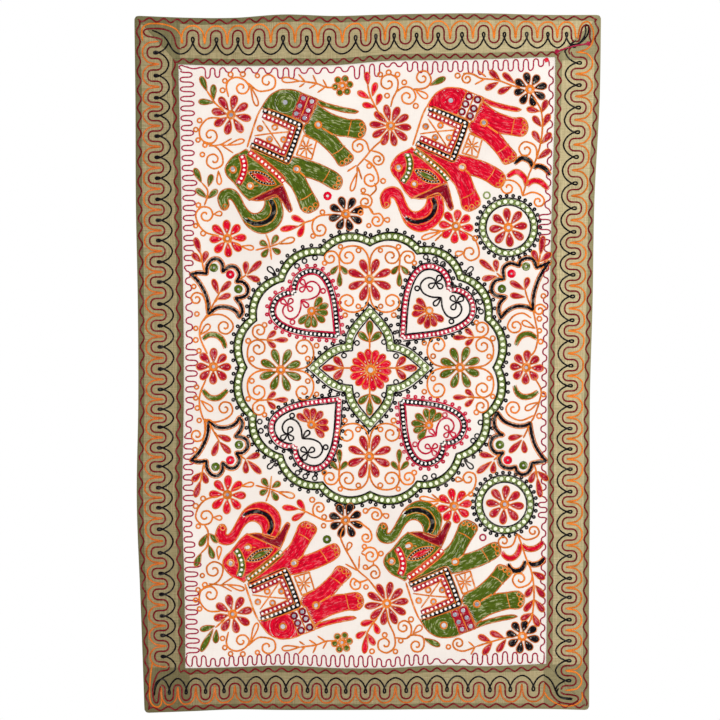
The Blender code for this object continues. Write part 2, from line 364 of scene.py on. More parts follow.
def plain_weave_group():
    """A plain weave of hand-spun yarn: warp and weft as two sine ridges, added together, with
    slubs where a yarn runs thick."""
    g, given, out = new_group(
        "plain weave",
        [("Vector", "NodeSocketVector", None), ("Yarns per metre", "NodeSocketFloat", 1400.0)],
        [("Height", "NodeSocketFloat"), ("Slub", "NodeSocketFloat")],
    )
    parts = g.split(given["Vector"])
    half_turn = g.times(given["Yarns per metre"], float(np.pi))
    warp = g.math("ABSOLUTE", g.math("SINE", g.times(parts["X"], half_turn)))
    weft = g.math("ABSOLUTE", g.math("SINE", g.times(parts["Z"], half_turn)))
    warp_slub = g.noise(g.scaled(given["Vector"], (900.0, 20.0, 26.0)), 1.0, 3.0)
    weft_slub = g.noise(g.scaled(given["Vector"], (26.0, 20.0, 900.0)), 1.0, 3.0)
    slub = g.times(g.plus(warp_slub, weft_slub), 0.5)
    ridge = g.times(g.plus(warp, weft), 0.5)
    g.feed(out["Height"], g.plus(g.times(ridge, 0.4), slub))
    g.feed(out["Slub"], g.stretch(slub, 0.36, 0.64))
    return g.tree


def toning_group():
    """Slow unevenness of a dyed cloth or thread: two scales of noise, 0 to 1."""
    g, given, out = new_group(
        "toning",
        [("Vector", "NodeSocketVector", None)],
        [("Broad", "NodeSocketFloat"), ("Fine", "NodeSocketFloat")],
    )
    g.feed(out["Broad"], g.stretch(g.noise(given["Vector"], 9.0, 3.0), 0.3, 0.7))
    g.feed(out["Fine"], g.stretch(g.noise(given["Vector"], 130.0, 2.0), 0.3, 0.7))
    return g.tree


CHAIN_STITCH = chain_stitch_group()
PLAIN_WEAVE = plain_weave_group()
TONING = toning_group()


def start_material(name, roughness, sheen=0.0, metallic=0.0, specular=0.25):
    """A material with its Principled shader's constant values set, and its graph."""
    material = bpy.data.materials.new(name)
    material.use_nodes = True
    shader = material.node_tree.nodes["Principled BSDF"]
    shader.inputs["Roughness"].default_value = roughness
    shader.inputs["Sheen Weight"].default_value = sheen
    shader.inputs["Metallic"].default_value = metallic
    shader.inputs["Specular IOR Level"].default_value = specular
    return material, shader, Graph(material.node_tree)


def raise_bump(g, shader, height, distance, strength):
    """Leads a height into the shader's normal."""
    bump = g.node("ShaderNodeBump")
    bump.inputs["Distance"].default_value = distance
    bump.inputs["Strength"].default_value = strength
    g.feed(bump.inputs["Height"], height)
    g.feed(shader.inputs["Normal"], bump.outputs["Normal"])


def streaks_group():
    """Where a strand catches the light and where it lies in shade, for painted highlights and painted shade:
    noise that runs along it, from a place of its own for each strand, stretched to two masks; and its two
    sides, where it meets its neighbours and lies in painted shade."""
    g, given, out = new_group(
        "streaks",
        [("UV", "NodeSocketVector", None), ("Strand", "NodeSocketFloat", 0.0)],
        [("Glint", "NodeSocketFloat"), ("Shade", "NodeSocketFloat"), ("Side", "NodeSocketFloat")],
    )
    parts = g.split(given["UV"])
    place = g.node("ShaderNodeCombineXYZ")
    g.feed(place.inputs["X"], g.times(given["Strand"], 91.0))
    g.feed(place.inputs["Y"], g.times(parts["Y"], 0.27))
    g.feed(place.inputs["Z"], g.times(parts["X"], 1.1))
    patch = g.noise(place.outputs[0], 1.0, 3.0, 0.6)
    g.feed(out["Glint"], g.stretch(patch, 0.53, 0.63))
    g.feed(out["Shade"], g.minus(1.0, g.stretch(patch, 0.34, 0.48)))
    off_middle = g.math("ABSOLUTE", g.minus(parts["X"], 0.5))
    g.feed(out["Side"], g.stretch(off_middle, 0.16, 0.40))
    return g.tree


STREAKS = streaks_group()


SHEEN = (255, 246, 222)
SHEEN_SHARE = 0.52
DEEP = 0.42  # a thread's colour in its deepest shade, as a part of its full brightness
STREAK_SHADE = {"pale": 0.1, "white": 0.1}  # how dark the streaks of shade are; the other threads have more


def thread_material(name, colour, use, gloss):
    """Chain-stitched cotton thread for one use: painted shade in the grooves and at a strand's sides, with
    painted streaks of shade and of sheen (gloss says how strong), each strand with its own tint."""
    material, shader, g = start_material(f"{name}_{use}", 0.7, specular=0.05)
    uv = g.node("ShaderNodeUVMap", uv_map="stitch").outputs["UV"]
    chain = g.group(CHAIN_STITCH, UV=uv)
    tone = g.group(TONING, Vector=g.node("ShaderNodeTexCoord").outputs["Object"])
    tint = g.node("ShaderNodeAttribute", attribute_name="tint").outputs["Fac"]
    streak = g.group(STREAKS, UV=uv, Strand=tint)
    glossy = (1 - SHEEN_SHARE) * np.array(colour) + SHEEN_SHARE * np.array(SHEEN)
    shade = g.plus(g.times(tint, 0.7), g.times(tone["Fine"], 0.3))
    base = g.mix(shade, linear(colour, 0.76), linear(colour, 1.2))
    base = g.mix(g.times(streak["Shade"], STREAK_SHADE.get(name, 0.65)), base, linear(colour, DEEP))
    base = g.mix(g.times(streak["Glint"], gloss), base, linear(glossy))
    # Painted shade: a strand is darker at its sides, where it meets its neighbours.
    base = g.mix(g.times(streak["Side"], 0.6), base, linear(colour, 0.45))
    # Painted shade: the thread is darker in its chain stitch's grooves.
    painted_shade = g.mix(g.times(chain["Groove"], 0.5), base, linear(colour, DEEP))
    g.feed(shader.inputs["Base Color"], painted_shade)
    raise_bump(g, shader, chain["Height"], 0.5 * MM, 0.8)
    return material


def ground_material():
    """Cream cotton: off-white plain weave with faint slubs and toning."""
    material, shader, g = start_material("cream_cotton", 0.9, sheen=0.15)
    place = g.node("ShaderNodeTexCoord").outputs["Object"]
    weave = g.group(PLAIN_WEAVE, Vector=place)
    tone = g.group(TONING, Vector=place)
    shade = g.mix(tone["Broad"], linear(COTTON["cream"]), linear(COTTON["cream bright"]))
    shade = g.mix(g.times(weave["Slub"], 0.25), shade, linear(COTTON["cream slub"]))
    g.feed(shader.inputs["Base Color"], shade)
    raise_bump(g, shader, weave["Height"], 0.25 * MM, 0.5)
    return material


def strip_material():
    """Olive cotton: khaki where one layer hangs, darker where a hem or a corner's flap doubles it, with painted
    light towards the right and painted shade towards the left and the bottom. The UV map holds the distance
    from the outer edge and that along from the nearer flapped corner, in metres."""
    material, shader, g = start_material("olive_cotton", 0.9, sheen=0.15)
    place = g.node("ShaderNodeTexCoord").outputs["Object"]
    weave = g.group(PLAIN_WEAVE, Vector=place)
    tone = g.group(TONING, Vector=place)
    parts = g.split(g.node("ShaderNodeUVMap", uv_map="cut").outputs["UV"])
    outer = parts["X"]
    inner = g.minus(STRIP_WIDTH, outer)
    wander = g.times(tone["Broad"], 1.6 * MM)
    to_edge = g.plus(g.math("MINIMUM", outer, inner), wander)
    hem = g.minus(1.0, g.stretch(to_edge, HEM_WIDTH - 0.6 * MM, HEM_WIDTH + 1.4 * MM))
    corner = g.plus(parts["Y"], wander)
    mitre = g.minus(1.0, g.stretch(corner, STRIP_WIDTH - 1.0 * MM, STRIP_WIDTH + 1.0 * MM))
    double = g.math("MAXIMUM", hem, g.times(mitre, 0.85))
    single = g.mix(weave["Slub"], linear(COTTON["olive"]), linear(COTTON["olive bright"]))
    single = g.mix(g.times(tone["Broad"], 0.35), single, linear(COTTON["olive toned"]))
    doubled = g.mix(
        weave["Slub"], linear(COTTON["doubled olive"]), linear(COTTON["doubled olive bright"]),
    )
    cloth = g.mix(double, single, doubled)
    # Painted light and shade: paler towards the right, where the lamp is, and darker towards the left and the
    # bottom.
    spot = g.split(place)
    rightwards = g.stretch(spot["X"], -0.55, 0.75)
    downwards = g.minus(1.0, g.stretch(spot["Z"], -1.7, -0.7))
    painted_shade = g.plus(g.times(g.minus(1.0, rightwards), 0.55), g.times(downwards, 0.45))
    painted_light = g.mix(0.75, cloth, linear(COTTON["olive faded"]), blend="SCREEN")
    cloth = g.mix(g.times(rightwards, 0.26), cloth, painted_light)
    cloth = g.mix(g.times(painted_shade, 0.62), cloth, linear(COTTON["olive worn"]))
    g.feed(shader.inputs["Base Color"], cloth)
    raise_bump(g, shader, weave["Height"], 0.3 * MM, 0.6)
    return material


def mirror_material():
    """Thin silvered glass, cut by hand: each mirror painted bright or dim by noise, as a painted reflection,
    and a little clouded.
    """
    material, shader, g = start_material("mirror_glass", 0.18, metallic=0.85)
    place = g.node("ShaderNodeTexCoord").outputs["Object"]
    cloud = g.stretch(g.noise(place, 260.0, 2.0), 0.35, 0.7)
    # Painted reflection: each mirror is made bright or dim by noise, standing in for what it reflects.
    bright = g.stretch(g.noise(place, 17.0, 1.0), 0.36, 0.62)
    glass = g.mix(bright, linear(SILVER["dim"]), linear(SILVER["bright"]))
    glass = g.mix(g.times(cloud, 0.5), glass, linear(SILVER["clouded"]))
    g.feed(shader.inputs["Base Color"], glass)
    g.feed(shader.inputs["Roughness"], g.plus(0.12, g.times(cloud, 0.2)))
    return material


# How strongly a thread's streaks catch the light in a filling; a single line shows them faintly.
GLOSS = {"green": 1.0, "black": 0.5, "red": 0.55, "maroon": 0.35, "leaf": 0.5}
OTHER_GLOSS = 0.85
LINE_GLOSS = 0.2
FILLINGS = {
    name: thread_material(name, colour, "filling", GLOSS.get(name, OTHER_GLOSS))
    for name, colour in THREADS.items()
}
LINES = {name: thread_material(name, colour, "line", LINE_GLOSS) for name, colour in THREADS.items()}
LINE_GROUPS = ("border", "field_edge", "scrolls")
CREAM = ground_material()
OLIVE = strip_material()
GLASS = mirror_material()


# Meshes

def add_piece(name, points, corners, starts, material, corner_uv=None, uv_name="stitch", tint=None):
    """A mesh object from whole arrays: points, each face's corners in a row and where each face starts."""
    mesh = bpy.data.meshes.new(name)
    mesh.vertices.add(len(points))
    mesh.vertices.foreach_set("co", np.ascontiguousarray(points, np.float32).ravel())
    mesh.loops.add(len(corners))
    mesh.loops.foreach_set("vertex_index", np.ascontiguousarray(corners, np.int32))
    mesh.polygons.add(len(starts))
    mesh.polygons.foreach_set("loop_start", np.ascontiguousarray(starts, np.int32))
    mesh.update(calc_edges=True)
    if corner_uv is not None:
        layer = mesh.uv_layers.new(name=uv_name)
        layer.data.foreach_set("uv", np.ascontiguousarray(corner_uv, np.float32).ravel())
    if tint is not None:
        mesh.attributes.new("tint", "FLOAT", "POINT").data.foreach_set("value", np.asarray(tint, np.float32))
    mesh.shade_smooth()
    mesh.materials.append(material)
    piece = bpy.data.objects.new(name, mesh)
    bpy.context.scene.collection.objects.link(piece)
    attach(piece, "root")
    return piece


def grid_faces(rows, columns, wrap_columns=False):
    """Corner numbers of the quads of a grid of rows by columns, counted row by row."""
    across = columns if wrap_columns else columns - 1
    r, c = np.meshgrid(np.arange(rows - 1), np.arange(across), indexing="ij")
    n = (c + 1) % columns
    near, far = r * columns, (r + 1) * columns
    return np.stack([near + c, near + n, far + n, far + c], -1).reshape(-1, 4)


# The two cloths

def crossing(side, end):
    """Where a side edge and an end edge cross, as (across, drop)."""
    drop = column(ENDS, end, 0.0)
    for _ in range(4):
        across = column(SIDES, side, drop)
        drop = column(ENDS, end, across)
    return float(across), float(drop)


def make_ground(columns=112, rows=176):
    """The ground cloth: a grid over shares across and down between the raw edges, bent to the ripples and
    puckers, and given its thickness."""
    u, v = np.meshgrid(np.linspace(0, 1, columns), np.linspace(0, 1, rows))
    across, drop = np.zeros_like(u), np.full_like(v, 0.75)
    for _ in range(4):
        left, right = column(SIDES, "left_in", drop) - LAP, column(SIDES, "right_in", drop) + LAP
        top, bottom = column(ENDS, "top_in", across) - LAP, column(ENDS, "bottom_in", across) + LAP
        across, drop = left + u * (right - left), top + v * (bottom - top)
    depth = ripple_depth(across, drop) + pucker_depth(across, drop)
    points = np.stack([across, depth, -drop], -1).reshape(-1, 3)
    faces = grid_faces(rows, columns)[:, ::-1]
    piece = add_piece("ground", points, faces.ravel(), np.arange(len(faces)) * 4, CREAM)
    solidify = piece.modifiers.new("thickness", "SOLIDIFY")
    solidify.thickness = GROUND_THICK
    solidify.offset = 0.0
    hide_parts("ground_cloth")
    return piece


def strip_section():
    """The closed cross-section of a strip, as (distance from the outer edge, depth): along the front, round
    the inner fold, the inner hem, back along the rear of the single layer, and the outer hem and fold."""
    fold = (HEM_BACK - STRIP_FRONT) / 2
    middle = STRIP_FRONT + fold
    inside = 1.2 * MM
    front = np.linspace(fold, STRIP_WIDTH - fold, 27)
    face = np.stack([front, STRIP_FRONT + sag(front)], -1)
    angle = np.linspace(0, np.pi, 7)[1:-1]
    turn = np.stack([STRIP_WIDTH - fold + fold * np.sin(angle), middle - fold * np.cos(angle)], -1)
    hem = np.array([
        (STRIP_WIDTH - fold, HEM_BACK),
        (STRIP_WIDTH - HEM_WIDTH / 2, HEM_BACK),
        (STRIP_WIDTH - HEM_WIDTH, HEM_BACK),
        (STRIP_WIDTH - HEM_WIDTH, HEM_FRONT),
        (STRIP_WIDTH - HEM_WIDTH / 2, HEM_FRONT),
        (STRIP_WIDTH - inside, HEM_FRONT),
        (STRIP_WIDTH - inside, STRIP_BACK),
        (STRIP_WIDTH - HEM_WIDTH, STRIP_BACK),
    ])
    rear = np.linspace(STRIP_WIDTH - HEM_WIDTH * 1.3, HEM_WIDTH * 1.3, 11)
    back = np.stack([rear, STRIP_BACK + sag(rear)], -1)

    def turned(part):
        return np.stack([STRIP_WIDTH - part[::-1, 0], part[::-1, 1]], -1)

    return np.concatenate([face, turn, hem, back, turned(hem), turned(turn)])


def corner_rounding(distance):
    """How far the outer edge turns in at a distance from its corner, on an arc of CORNER_ROUND."""
    near = np.clip(CORNER_ROUND - distance, 0.0, CORNER_ROUND)
    return CORNER_ROUND - np.sqrt(CORNER_ROUND**2 - near**2)


def strip_edges(which, share):
    """A strip's outer and inner edge at shares of its length, each as (across, drop), and its two lengths."""
    is_end = which in ("top", "bottom")
    lengthways = 0 if is_end else 1
    table = ENDS if is_end else SIDES
    first, last = ("left", "right") if is_end else ("top", "bottom")
    inwards = 1 if which in ("top", "left") else -1
    turn = CORNER_ROUND * (1 - np.sqrt(0.5))
    lines, lengths = [], []
    for rim in ("out", "in"):
        ends = []
        for other in (first, last):
            side, end = (other, which) if is_end else (which, other)
            ends.append(crossing(f"{side}_{rim}", f"{end}_{rim}")[lengthways])
        shy = MITRE_GAP + (turn if rim == "out" else 0.0)
        start, stop = ends[0] + shy, ends[1] - shy
        along = start + share * (stop - start)
        aside = column(table, f"{which}_{rim}", along)
        if rim == "out":
            aside = aside + inwards * corner_rounding(np.minimum(along - ends[0], ends[1] - along))
        lines.append((along, aside) if is_end else (aside, along))
        lengths.append(stop - start)
    return lines, lengths


# Which of a strip's two corners hides a doubled flap: 1 for yes, at its first and at its last corner.
FLAPS = {"top": (1, 0), "bottom": (1, 1), "left": (0, 1), "right": (1, 1)}


def make_strip(which, parts):
    """A border strip: its cross-section carried from mitre to mitre between its outer and inner edge."""
    near = np.array([0.0, 0.003, 0.008, 0.015])
    share = np.concatenate([near, np.linspace(0.024, 0.976, parts), 1 - near[::-1]])
    (outer, inner), lengths = strip_edges(which, share)
    section = strip_section()
    t = section[:, 0] / STRIP_WIDTH
    across = outer[0][:, None] + t * (inner[0] - outer[0])[:, None]
    drop = outer[1][:, None] + t * (inner[1] - outer[1])[:, None]
    depth = ripple_depth(across, drop) + section[:, 1]
    points = np.stack([across, depth, -drop], -1).reshape(-1, 3)
    rings, round_it = across.shape
    quads = grid_faces(rings, round_it, wrap_columns=True)
    caps = np.stack([np.arange(round_it)[::-1], np.arange(round_it) + (rings - 1) * round_it])
    if which in ("bottom", "left"):
        quads, caps = quads[:, ::-1], caps[:, ::-1]
    corners = np.concatenate([quads.ravel(), caps.ravel()])
    starts = np.concatenate([np.arange(len(quads)) * 4, len(quads) * 4 + np.array([0, round_it])])
    mean_length = sum(lengths) / 2
    along = across if which in ("top", "bottom") else drop
    flaps = FLAPS[which]
    from_first = along - along[0].min() + 1 - flaps[0]
    from_last = along[-1].max() - along + 1 - flaps[1]
    from_corner = np.minimum(from_first, from_last)
    uv = np.stack([np.broadcast_to(section[:, 0], across.shape), from_corner], -1).reshape(-1, 2)
    piece = add_piece("strip_" + which, points, corners, starts, OLIVE, uv[corners], "cut")
    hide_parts("border_" + which)
    max(lengths)
    return piece


# Strands

# A strand's section, as parts of its half width and its height; its stitches' length; and how far apart its
# rings of points may be, in length and in radians of bend.
SECTION = np.array([(-1, 0), (-0.66, 0.74), (0, 1), (0.66, 0.74), (1, 0)])
STITCH = 3.6 * MM
LONGEST = 5.0 * MM
LONGEST_IN_FILL = 7.5 * MM
LONGEST_IN_RINGS = 4.5 * MM
BEND = 0.62
strands = defaultdict(list)


def on_hanging(places):
    """Photograph pixels as (across, drop) in metres."""
    return (np.asarray(places, float) - ORIGIN_PX) * PX


def curve(places):
    """A smooth line through given points (Catmull-Rom: at each point it runs parallel to the line
    between its neighbours), as points about a step apart, in pixels."""
    p = np.asarray(places, float)
    p = np.vstack([2 * p[0] - p[1], p, 2 * p[-1] - p[-2]])
    pieces = []
    for a, b, c, d in zip(p, p[1:], p[2:], p[3:]):
        n = max(2, int(np.ceil(np.hypot(*(c - b)) / STEP_PX)))
        t = (np.arange(n) / n)[:, None]
        square, cube = 2 * a - 5 * b + 4 * c - d, 3 * (b - c) + d - a
        pieces.append(0.5 * (2 * b + (c - a) * t + square * t**2 + cube * t**3))
    return np.vstack(pieces + [p[-2][None]])


def sew(group, colour, path, width=LINE, high=LINE_HIGH, closed=False, longest=LONGEST, taper=0.55):
    """Lays a strand of thread along a path of pixels; width may be one value or one for each point."""
    strands[group, colour].append((np.asarray(path, float), width, high, closed, longest, taper))


def spread(path, closed, longest):
    """Places along a path where its tube gets a ring: the nearer together, the more the path bends."""
    step = np.diff(path, axis=0)
    length = np.maximum(np.hypot(step[:, 0], step[:, 1]), 1e-7)
    heading = np.unwrap(np.arctan2(step[:, 1], step[:, 0]))
    bend = np.abs(np.diff(heading))
    joint = abs((heading[0] - heading[-1] + np.pi) % TURN - np.pi) if closed else 0.0
    turning = (np.append(bend, joint) + np.append(joint, bend)) / 2
    effort = np.concatenate([[0.0], np.cumsum(length / longest + turning / BEND)])
    count = max(4 if closed else 2, int(np.ceil(effort[-1])))
    run = np.concatenate([[0.0], np.cumsum(length)])
    at = np.interp(np.linspace(0, effort[-1], count + 1), effort, run)
    return at, run


def tube(path_px, width, high, closed, longest, taper):
    """A strand's mesh arrays: a five-sided flat section carried along the path on the cloth's front, wide and
    narrow by turns as the stitches follow each other, closed on itself or with small end faces."""
    path = on_hanging(path_px)
    at, run = spread(path, closed, longest)
    x, d = np.interp(at, run, path[:, 0]), np.interp(at, run, path[:, 1])
    wide = np.interp(at, run, width) if np.ndim(width) else np.full(len(at), width)
    if closed:
        x, d, wide = x[:-1], d[:-1], wide[:-1]
    rings = len(x)
    if closed:
        tx, td = np.roll(x, -1) - np.roll(x, 1), np.roll(d, -1) - np.roll(d, 1)
    else:
        tx, td = np.gradient(x), np.gradient(d)
    size = np.maximum(np.hypot(tx, td), 1e-9)
    tx, td = tx / size, td / size
    wide = wide * (1 + 0.07 * np.cos(np.pi * np.arange(rings)) + 0.04 * rng.standard_normal(rings))
    rise = np.full(rings, high)
    if not closed:
        wide[[0, -1]] *= taper
        rise[[0, -1]] *= 0.6
    aside = SECTION[:, 0] * wide[:, None] / 2
    px = x[:, None] - td[:, None] * aside
    pd = d[:, None] + tx[:, None] * aside
    front = front_depth(x, d)[:, None]
    py = front - SECTION[:, 1] * rise[:, None] + SINK
    points = np.stack([px, py, -pd], -1).reshape(-1, 3)
    k = len(SECTION)
    rows = rings + 1 if closed else rings
    quads = grid_faces(rows, k, wrap_columns=True)
    row, col = np.meshgrid(np.arange(rows - 1), np.arange(k), indexing="ij")
    row, col = row.ravel(), col.ravel()
    u0, u1 = col / (k - 1), np.where(col == k - 1, 0.0, (col + 1) / (k - 1))
    v = at / STITCH
    uv = np.stack([u0, v[row], u1, v[row], u1, v[row + 1], u0, v[row + 1]], -1).reshape(-1, 2)
    quads = quads % len(points) if closed else quads
    corners, starts = quads.ravel(), np.arange(len(quads)) * 4
    if not closed:
        caps = np.concatenate([np.arange(k)[::-1], np.arange(k) + (rings - 1) * k])
        starts = np.concatenate([starts, len(corners) + np.array([0, k])])
        corners = np.concatenate([corners, caps])
        uv = np.concatenate([uv, np.full((2 * k, 2), 0.5)])
    return points, corners, starts, uv


def make_strands():
    """Joins all strands of one group and colour into one piece."""
    for (group, colour), rows in strands.items():
        points, corners, starts, uvs, tints = [], [], [], [], []
        first_point = first_corner = 0
        for row in rows:
            p, c, s, uv = tube(*row)
            points.append(p)
            corners.append(c + first_point)
            starts.append(s + first_corner)
            uvs.append(uv)
            tints.append(np.full(len(p), rng.uniform()))
            first_point += len(p)
            first_corner += len(c)
        materials = LINES if group in LINE_GROUPS else FILLINGS
        add_piece(
            f"{group}_{colour}", np.concatenate(points), np.concatenate(corners), np.concatenate(starts),
            materials[colour], np.concatenate(uvs), tint=np.concatenate(tints),
        )


# Drawing rules, all in pixels


def circle(centre, radius, start=0.0):
    """Points once round a circle from a start angle."""
    n = max(8, int(np.ceil(TURN * radius / STEP_PX)))
    return np.array(centre) + radius * facing(start + np.linspace(0, TURN, n + 1))


def facing(angle):
    """The unit vector at an angle, clockwise from the right as the photograph's drops run down."""
    return np.stack([np.cos(angle), np.sin(angle)], -1)


def leaned(points, angle):
    """Points turned about (0, 0) by an angle."""
    return points @ np.array([[np.cos(angle), np.sin(angle)], [-np.sin(angle), np.cos(angle)]])


def heading(base, tip):
    """The length from a base to a tip, the unit vector that way and the one across it."""
    step = np.asarray(tip, float) - np.asarray(base, float)
    long = np.hypot(*step)
    way = step / long
    return long, way, np.array([-way[1], way[0]])


def two_sided(base, tip, share, half):
    """A closed outline from a base to a tip and back, with its half width at shares of its length."""
    long, way, side = heading(base, tip)
    there = base + share[:, None] * long * way + half[:, None] * side
    back = base + share[::-1, None] * long * way - half[::-1, None] * side
    return np.vstack([there, back[1:]])


def placed(centre, ahead, aside):
    """A mapping to pixels round a centre, for places drawn about (0, 0) along one way and across it."""
    def at(points):
        p = np.asarray(points, float)
        return centre + p[..., :1] * ahead + p[..., 1:] * aside
    return at


def offset(path, distance, closed=False):
    """A path moved sideways: each point along its normal, to the right of the way it runs."""
    if closed:
        ring = path[:-1]
        step = np.roll(ring, -1, axis=0) - np.roll(ring, 1, axis=0)
    else:
        ring = path
        step = np.gradient(path, axis=0)
    size = np.maximum(np.hypot(step[:, 0], step[:, 1]), 1e-9)[:, None]
    normal = np.stack([-step[:, 1], step[:, 0]], -1) / size
    moved = ring + normal * np.asarray(distance).reshape(-1, 1)
    return np.vstack([moved, moved[:1]]) if closed else moved


def evenly(path, pitch, start=0.0):
    """Points a pitch apart along a path, and the direction there."""
    step = np.diff(path, axis=0)
    run = np.concatenate([[0.0], np.cumsum(np.hypot(step[:, 0], step[:, 1]))])
    at = np.arange(start, run[-1] - 0.3 * pitch, pitch)
    place = np.stack([np.interp(at, run, path[:, 0]), np.interp(at, run, path[:, 1])], -1)
    ahead = np.stack([np.interp(at + 0.3, run, path[:, 0]), np.interp(at + 0.3, run, path[:, 1])], -1)
    behind = np.stack([np.interp(at - 0.3, run, path[:, 0]), np.interp(at - 0.3, run, path[:, 1])], -1)
    way = ahead - behind
    return place, way / np.maximum(np.hypot(way[:, 0], way[:, 1]), 1e-9)[:, None]


def inside(points, outline):
    """Whether points lie in a closed outline, by counting the edges crossed on the way to the right."""
    a, b = outline[:-1], outline[1:]
    y = points[:, 1][:, None]
    straddles = (a[:, 1] > y) != (b[:, 1] > y)
    rise = np.where(b[:, 1] == a[:, 1], 1e-9, b[:, 1] - a[:, 1])
    meets = a[:, 0] + (y - a[:, 1]) / rise * (b[:, 0] - a[:, 0])
    return (straddles & (points[:, 0][:, None] < meets)).sum(1) % 2 == 1


def clipped(path, outline, holes=()):
    """The stretches of a path inside an outline and outside its holes."""
    kept = inside(path, outline)
    for hole in holes:
        kept &= ~inside(path, hole)
    edges = np.flatnonzero(np.diff(np.concatenate([[False], kept, [False]]).astype(int)))
    parts = []
    for start, stop in zip(edges[::2], edges[1::2]):
        if stop - start > 3:
            parts.append(path[start:stop])
    return parts


GUIDE_PAST_PX = 12  # how far a guide line is carried on past both ends


def fill_along(group, colour, outline, guide, reach, holes=()):
    """Rows of thread beside a guide line, each a row's pitch further out, kept inside the outline."""
    guide = np.asarray(guide, float)
    start, end = guide[0] - guide[1], guide[-1] - guide[-2]
    before = guide[0] + start / np.hypot(*start) * GUIDE_PAST_PX
    after = guide[-1] + end / np.hypot(*end) * GUIDE_PAST_PX
    line = curve(np.vstack([before, guide, after]))
    rows = int(reach / ROW_PX)
    for k in range(-rows, rows + 1):
        row = offset(line, k * ROW_PX + rng.normal(0, 0.12))
        for part in clipped(row, outline, holes):
            sew(group, colour, part, width=FILL, high=FILL_HIGH, longest=LONGEST_IN_FILL)


def fill_round(group, colour, outline, centre, reach, first=2.4, flat=1.0, lean=0.0, holes=()):
    """Rows of thread in rings about a centre, flattened and leaned, kept inside the outline."""
    for radius in np.arange(first, reach, ROW_PX):
        ring = circle((0, 0), radius + rng.normal(0, 0.12), start=rng.uniform(0, TURN))
        ring[:, 1] *= flat
        for part in clipped(leaned(ring, lean) + centre, outline, holes):
            sew(group, colour, part, width=FILL, high=FILL_HIGH, longest=LONGEST_IN_RINGS)


def petal_share(s):
    """A petal's width at a share s of its length: the root of sin(pi s^1.35), slimmer by the base."""
    return np.sqrt(np.clip(np.sin(np.pi * s**1.35), 0, 1)) * (0.45 + 0.55 * s**0.6)


def drop_outline(base, tip, width):
    """A petal's closed outline from its base to its tip."""
    long = heading(base, tip)[0]
    s = np.linspace(0, 1, max(8, int(long / STEP_PX)))
    return two_sided(base, tip, s, width / 2 * petal_share(s))


def leaf(group, fill, base, tip, width=5.7):
    """A petal or leaf: a thin edge line, a loop of filling thread within it and two rows in the middle."""
    base, tip = np.array(base, float), np.array(tip, float)
    long, way, side = heading(base, tip)
    edge = "amber" if fill in ("black", "green") else "orange"
    sew(group, edge, drop_outline(base, tip, width), closed=True, width=0.56 * LINE)
    inner = drop_outline(base + way * long * 0.08, tip - way * 1.2, width - 2.1)
    sew(group, fill, inner, width=1.05 * LINE, high=FILL_HIGH, closed=True)
    s = np.linspace(0.3, 0.88, 7)
    apart = (width - 3.2) / 4 * petal_share(s)
    for hand in (-1, 1):
        row = base + s[:, None] * (tip - base) + hand * apart[:, None] * side
        sew(group, fill, row, width=(2 * apart + 0.5) * PX, high=1.15 * FILL_HIGH)


def ring(group, colour, centre, radius, width=LINE, high=LINE_HIGH):
    """One round of thread."""
    sew(group, colour, circle(centre, radius, start=rng.uniform(0, TURN)),
        width=width, high=high, closed=True)


domes = defaultdict(list)
mirrors = []
COLLAR_GAP_PX = 0.35
COLLAR_HIGH = 0.95 * MM


def beaded_band(group, base, eye, path, wide, pitch, closed=False, eye_size=0.62, rails=None, collar=None):
    """A band: a flat base along the path and a row of round eyes down its middle, with a collar of thread
    round each eye and a rail along each edge where their threads are named."""
    sew(group, base, path, width=wide * PX, high=BASE_HIGH, closed=closed, taper=1.0)
    step = np.diff(path, axis=0)
    length = np.hypot(step[:, 0], step[:, 1]).sum()
    count = max(2, int(round(length / pitch)))
    places, ways = evenly(path, length / count, start=0.0 if closed else length / count / 2)
    half = length / count * eye_size / 2
    for place, way in zip(places, ways):
        domes[group, eye].append((place, way, half, wide * eye_size / 2))
        if collar:
            ring(group, collar, place, half + COLLAR_GAP_PX, width=0.42 * LINE, high=COLLAR_HIGH)
    if rails:
        for side in (-1, 1):
            sew(group, rails, offset(path, side * wide / 2, closed), width=RAIL_LINE, closed=closed)


def green_band(group, path, wide, pitch):
    """A closed band of light green with pale eyes in darker collars."""
    beaded_band(group, "leaf", "pale", path, wide, pitch, closed=True, eye_size=0.72, collar="green")


EYE_SIDES = 8
EYE_LAYERS = [(1, 0), (0.72, 0.9 * 0.75 * MM)]  # each ring's part of the eye's width, and its height
EYE_HIGH = 0.95 * MM
EYE_UV = (0.3, 0.75)  # off a stitch's grooves
MIRROR_SIDES = 16
MIRROR_LAYERS = [(1.0, 0.25 * MM), (1.0, 1.0 * MM), (0.88, 1.25 * MM)]


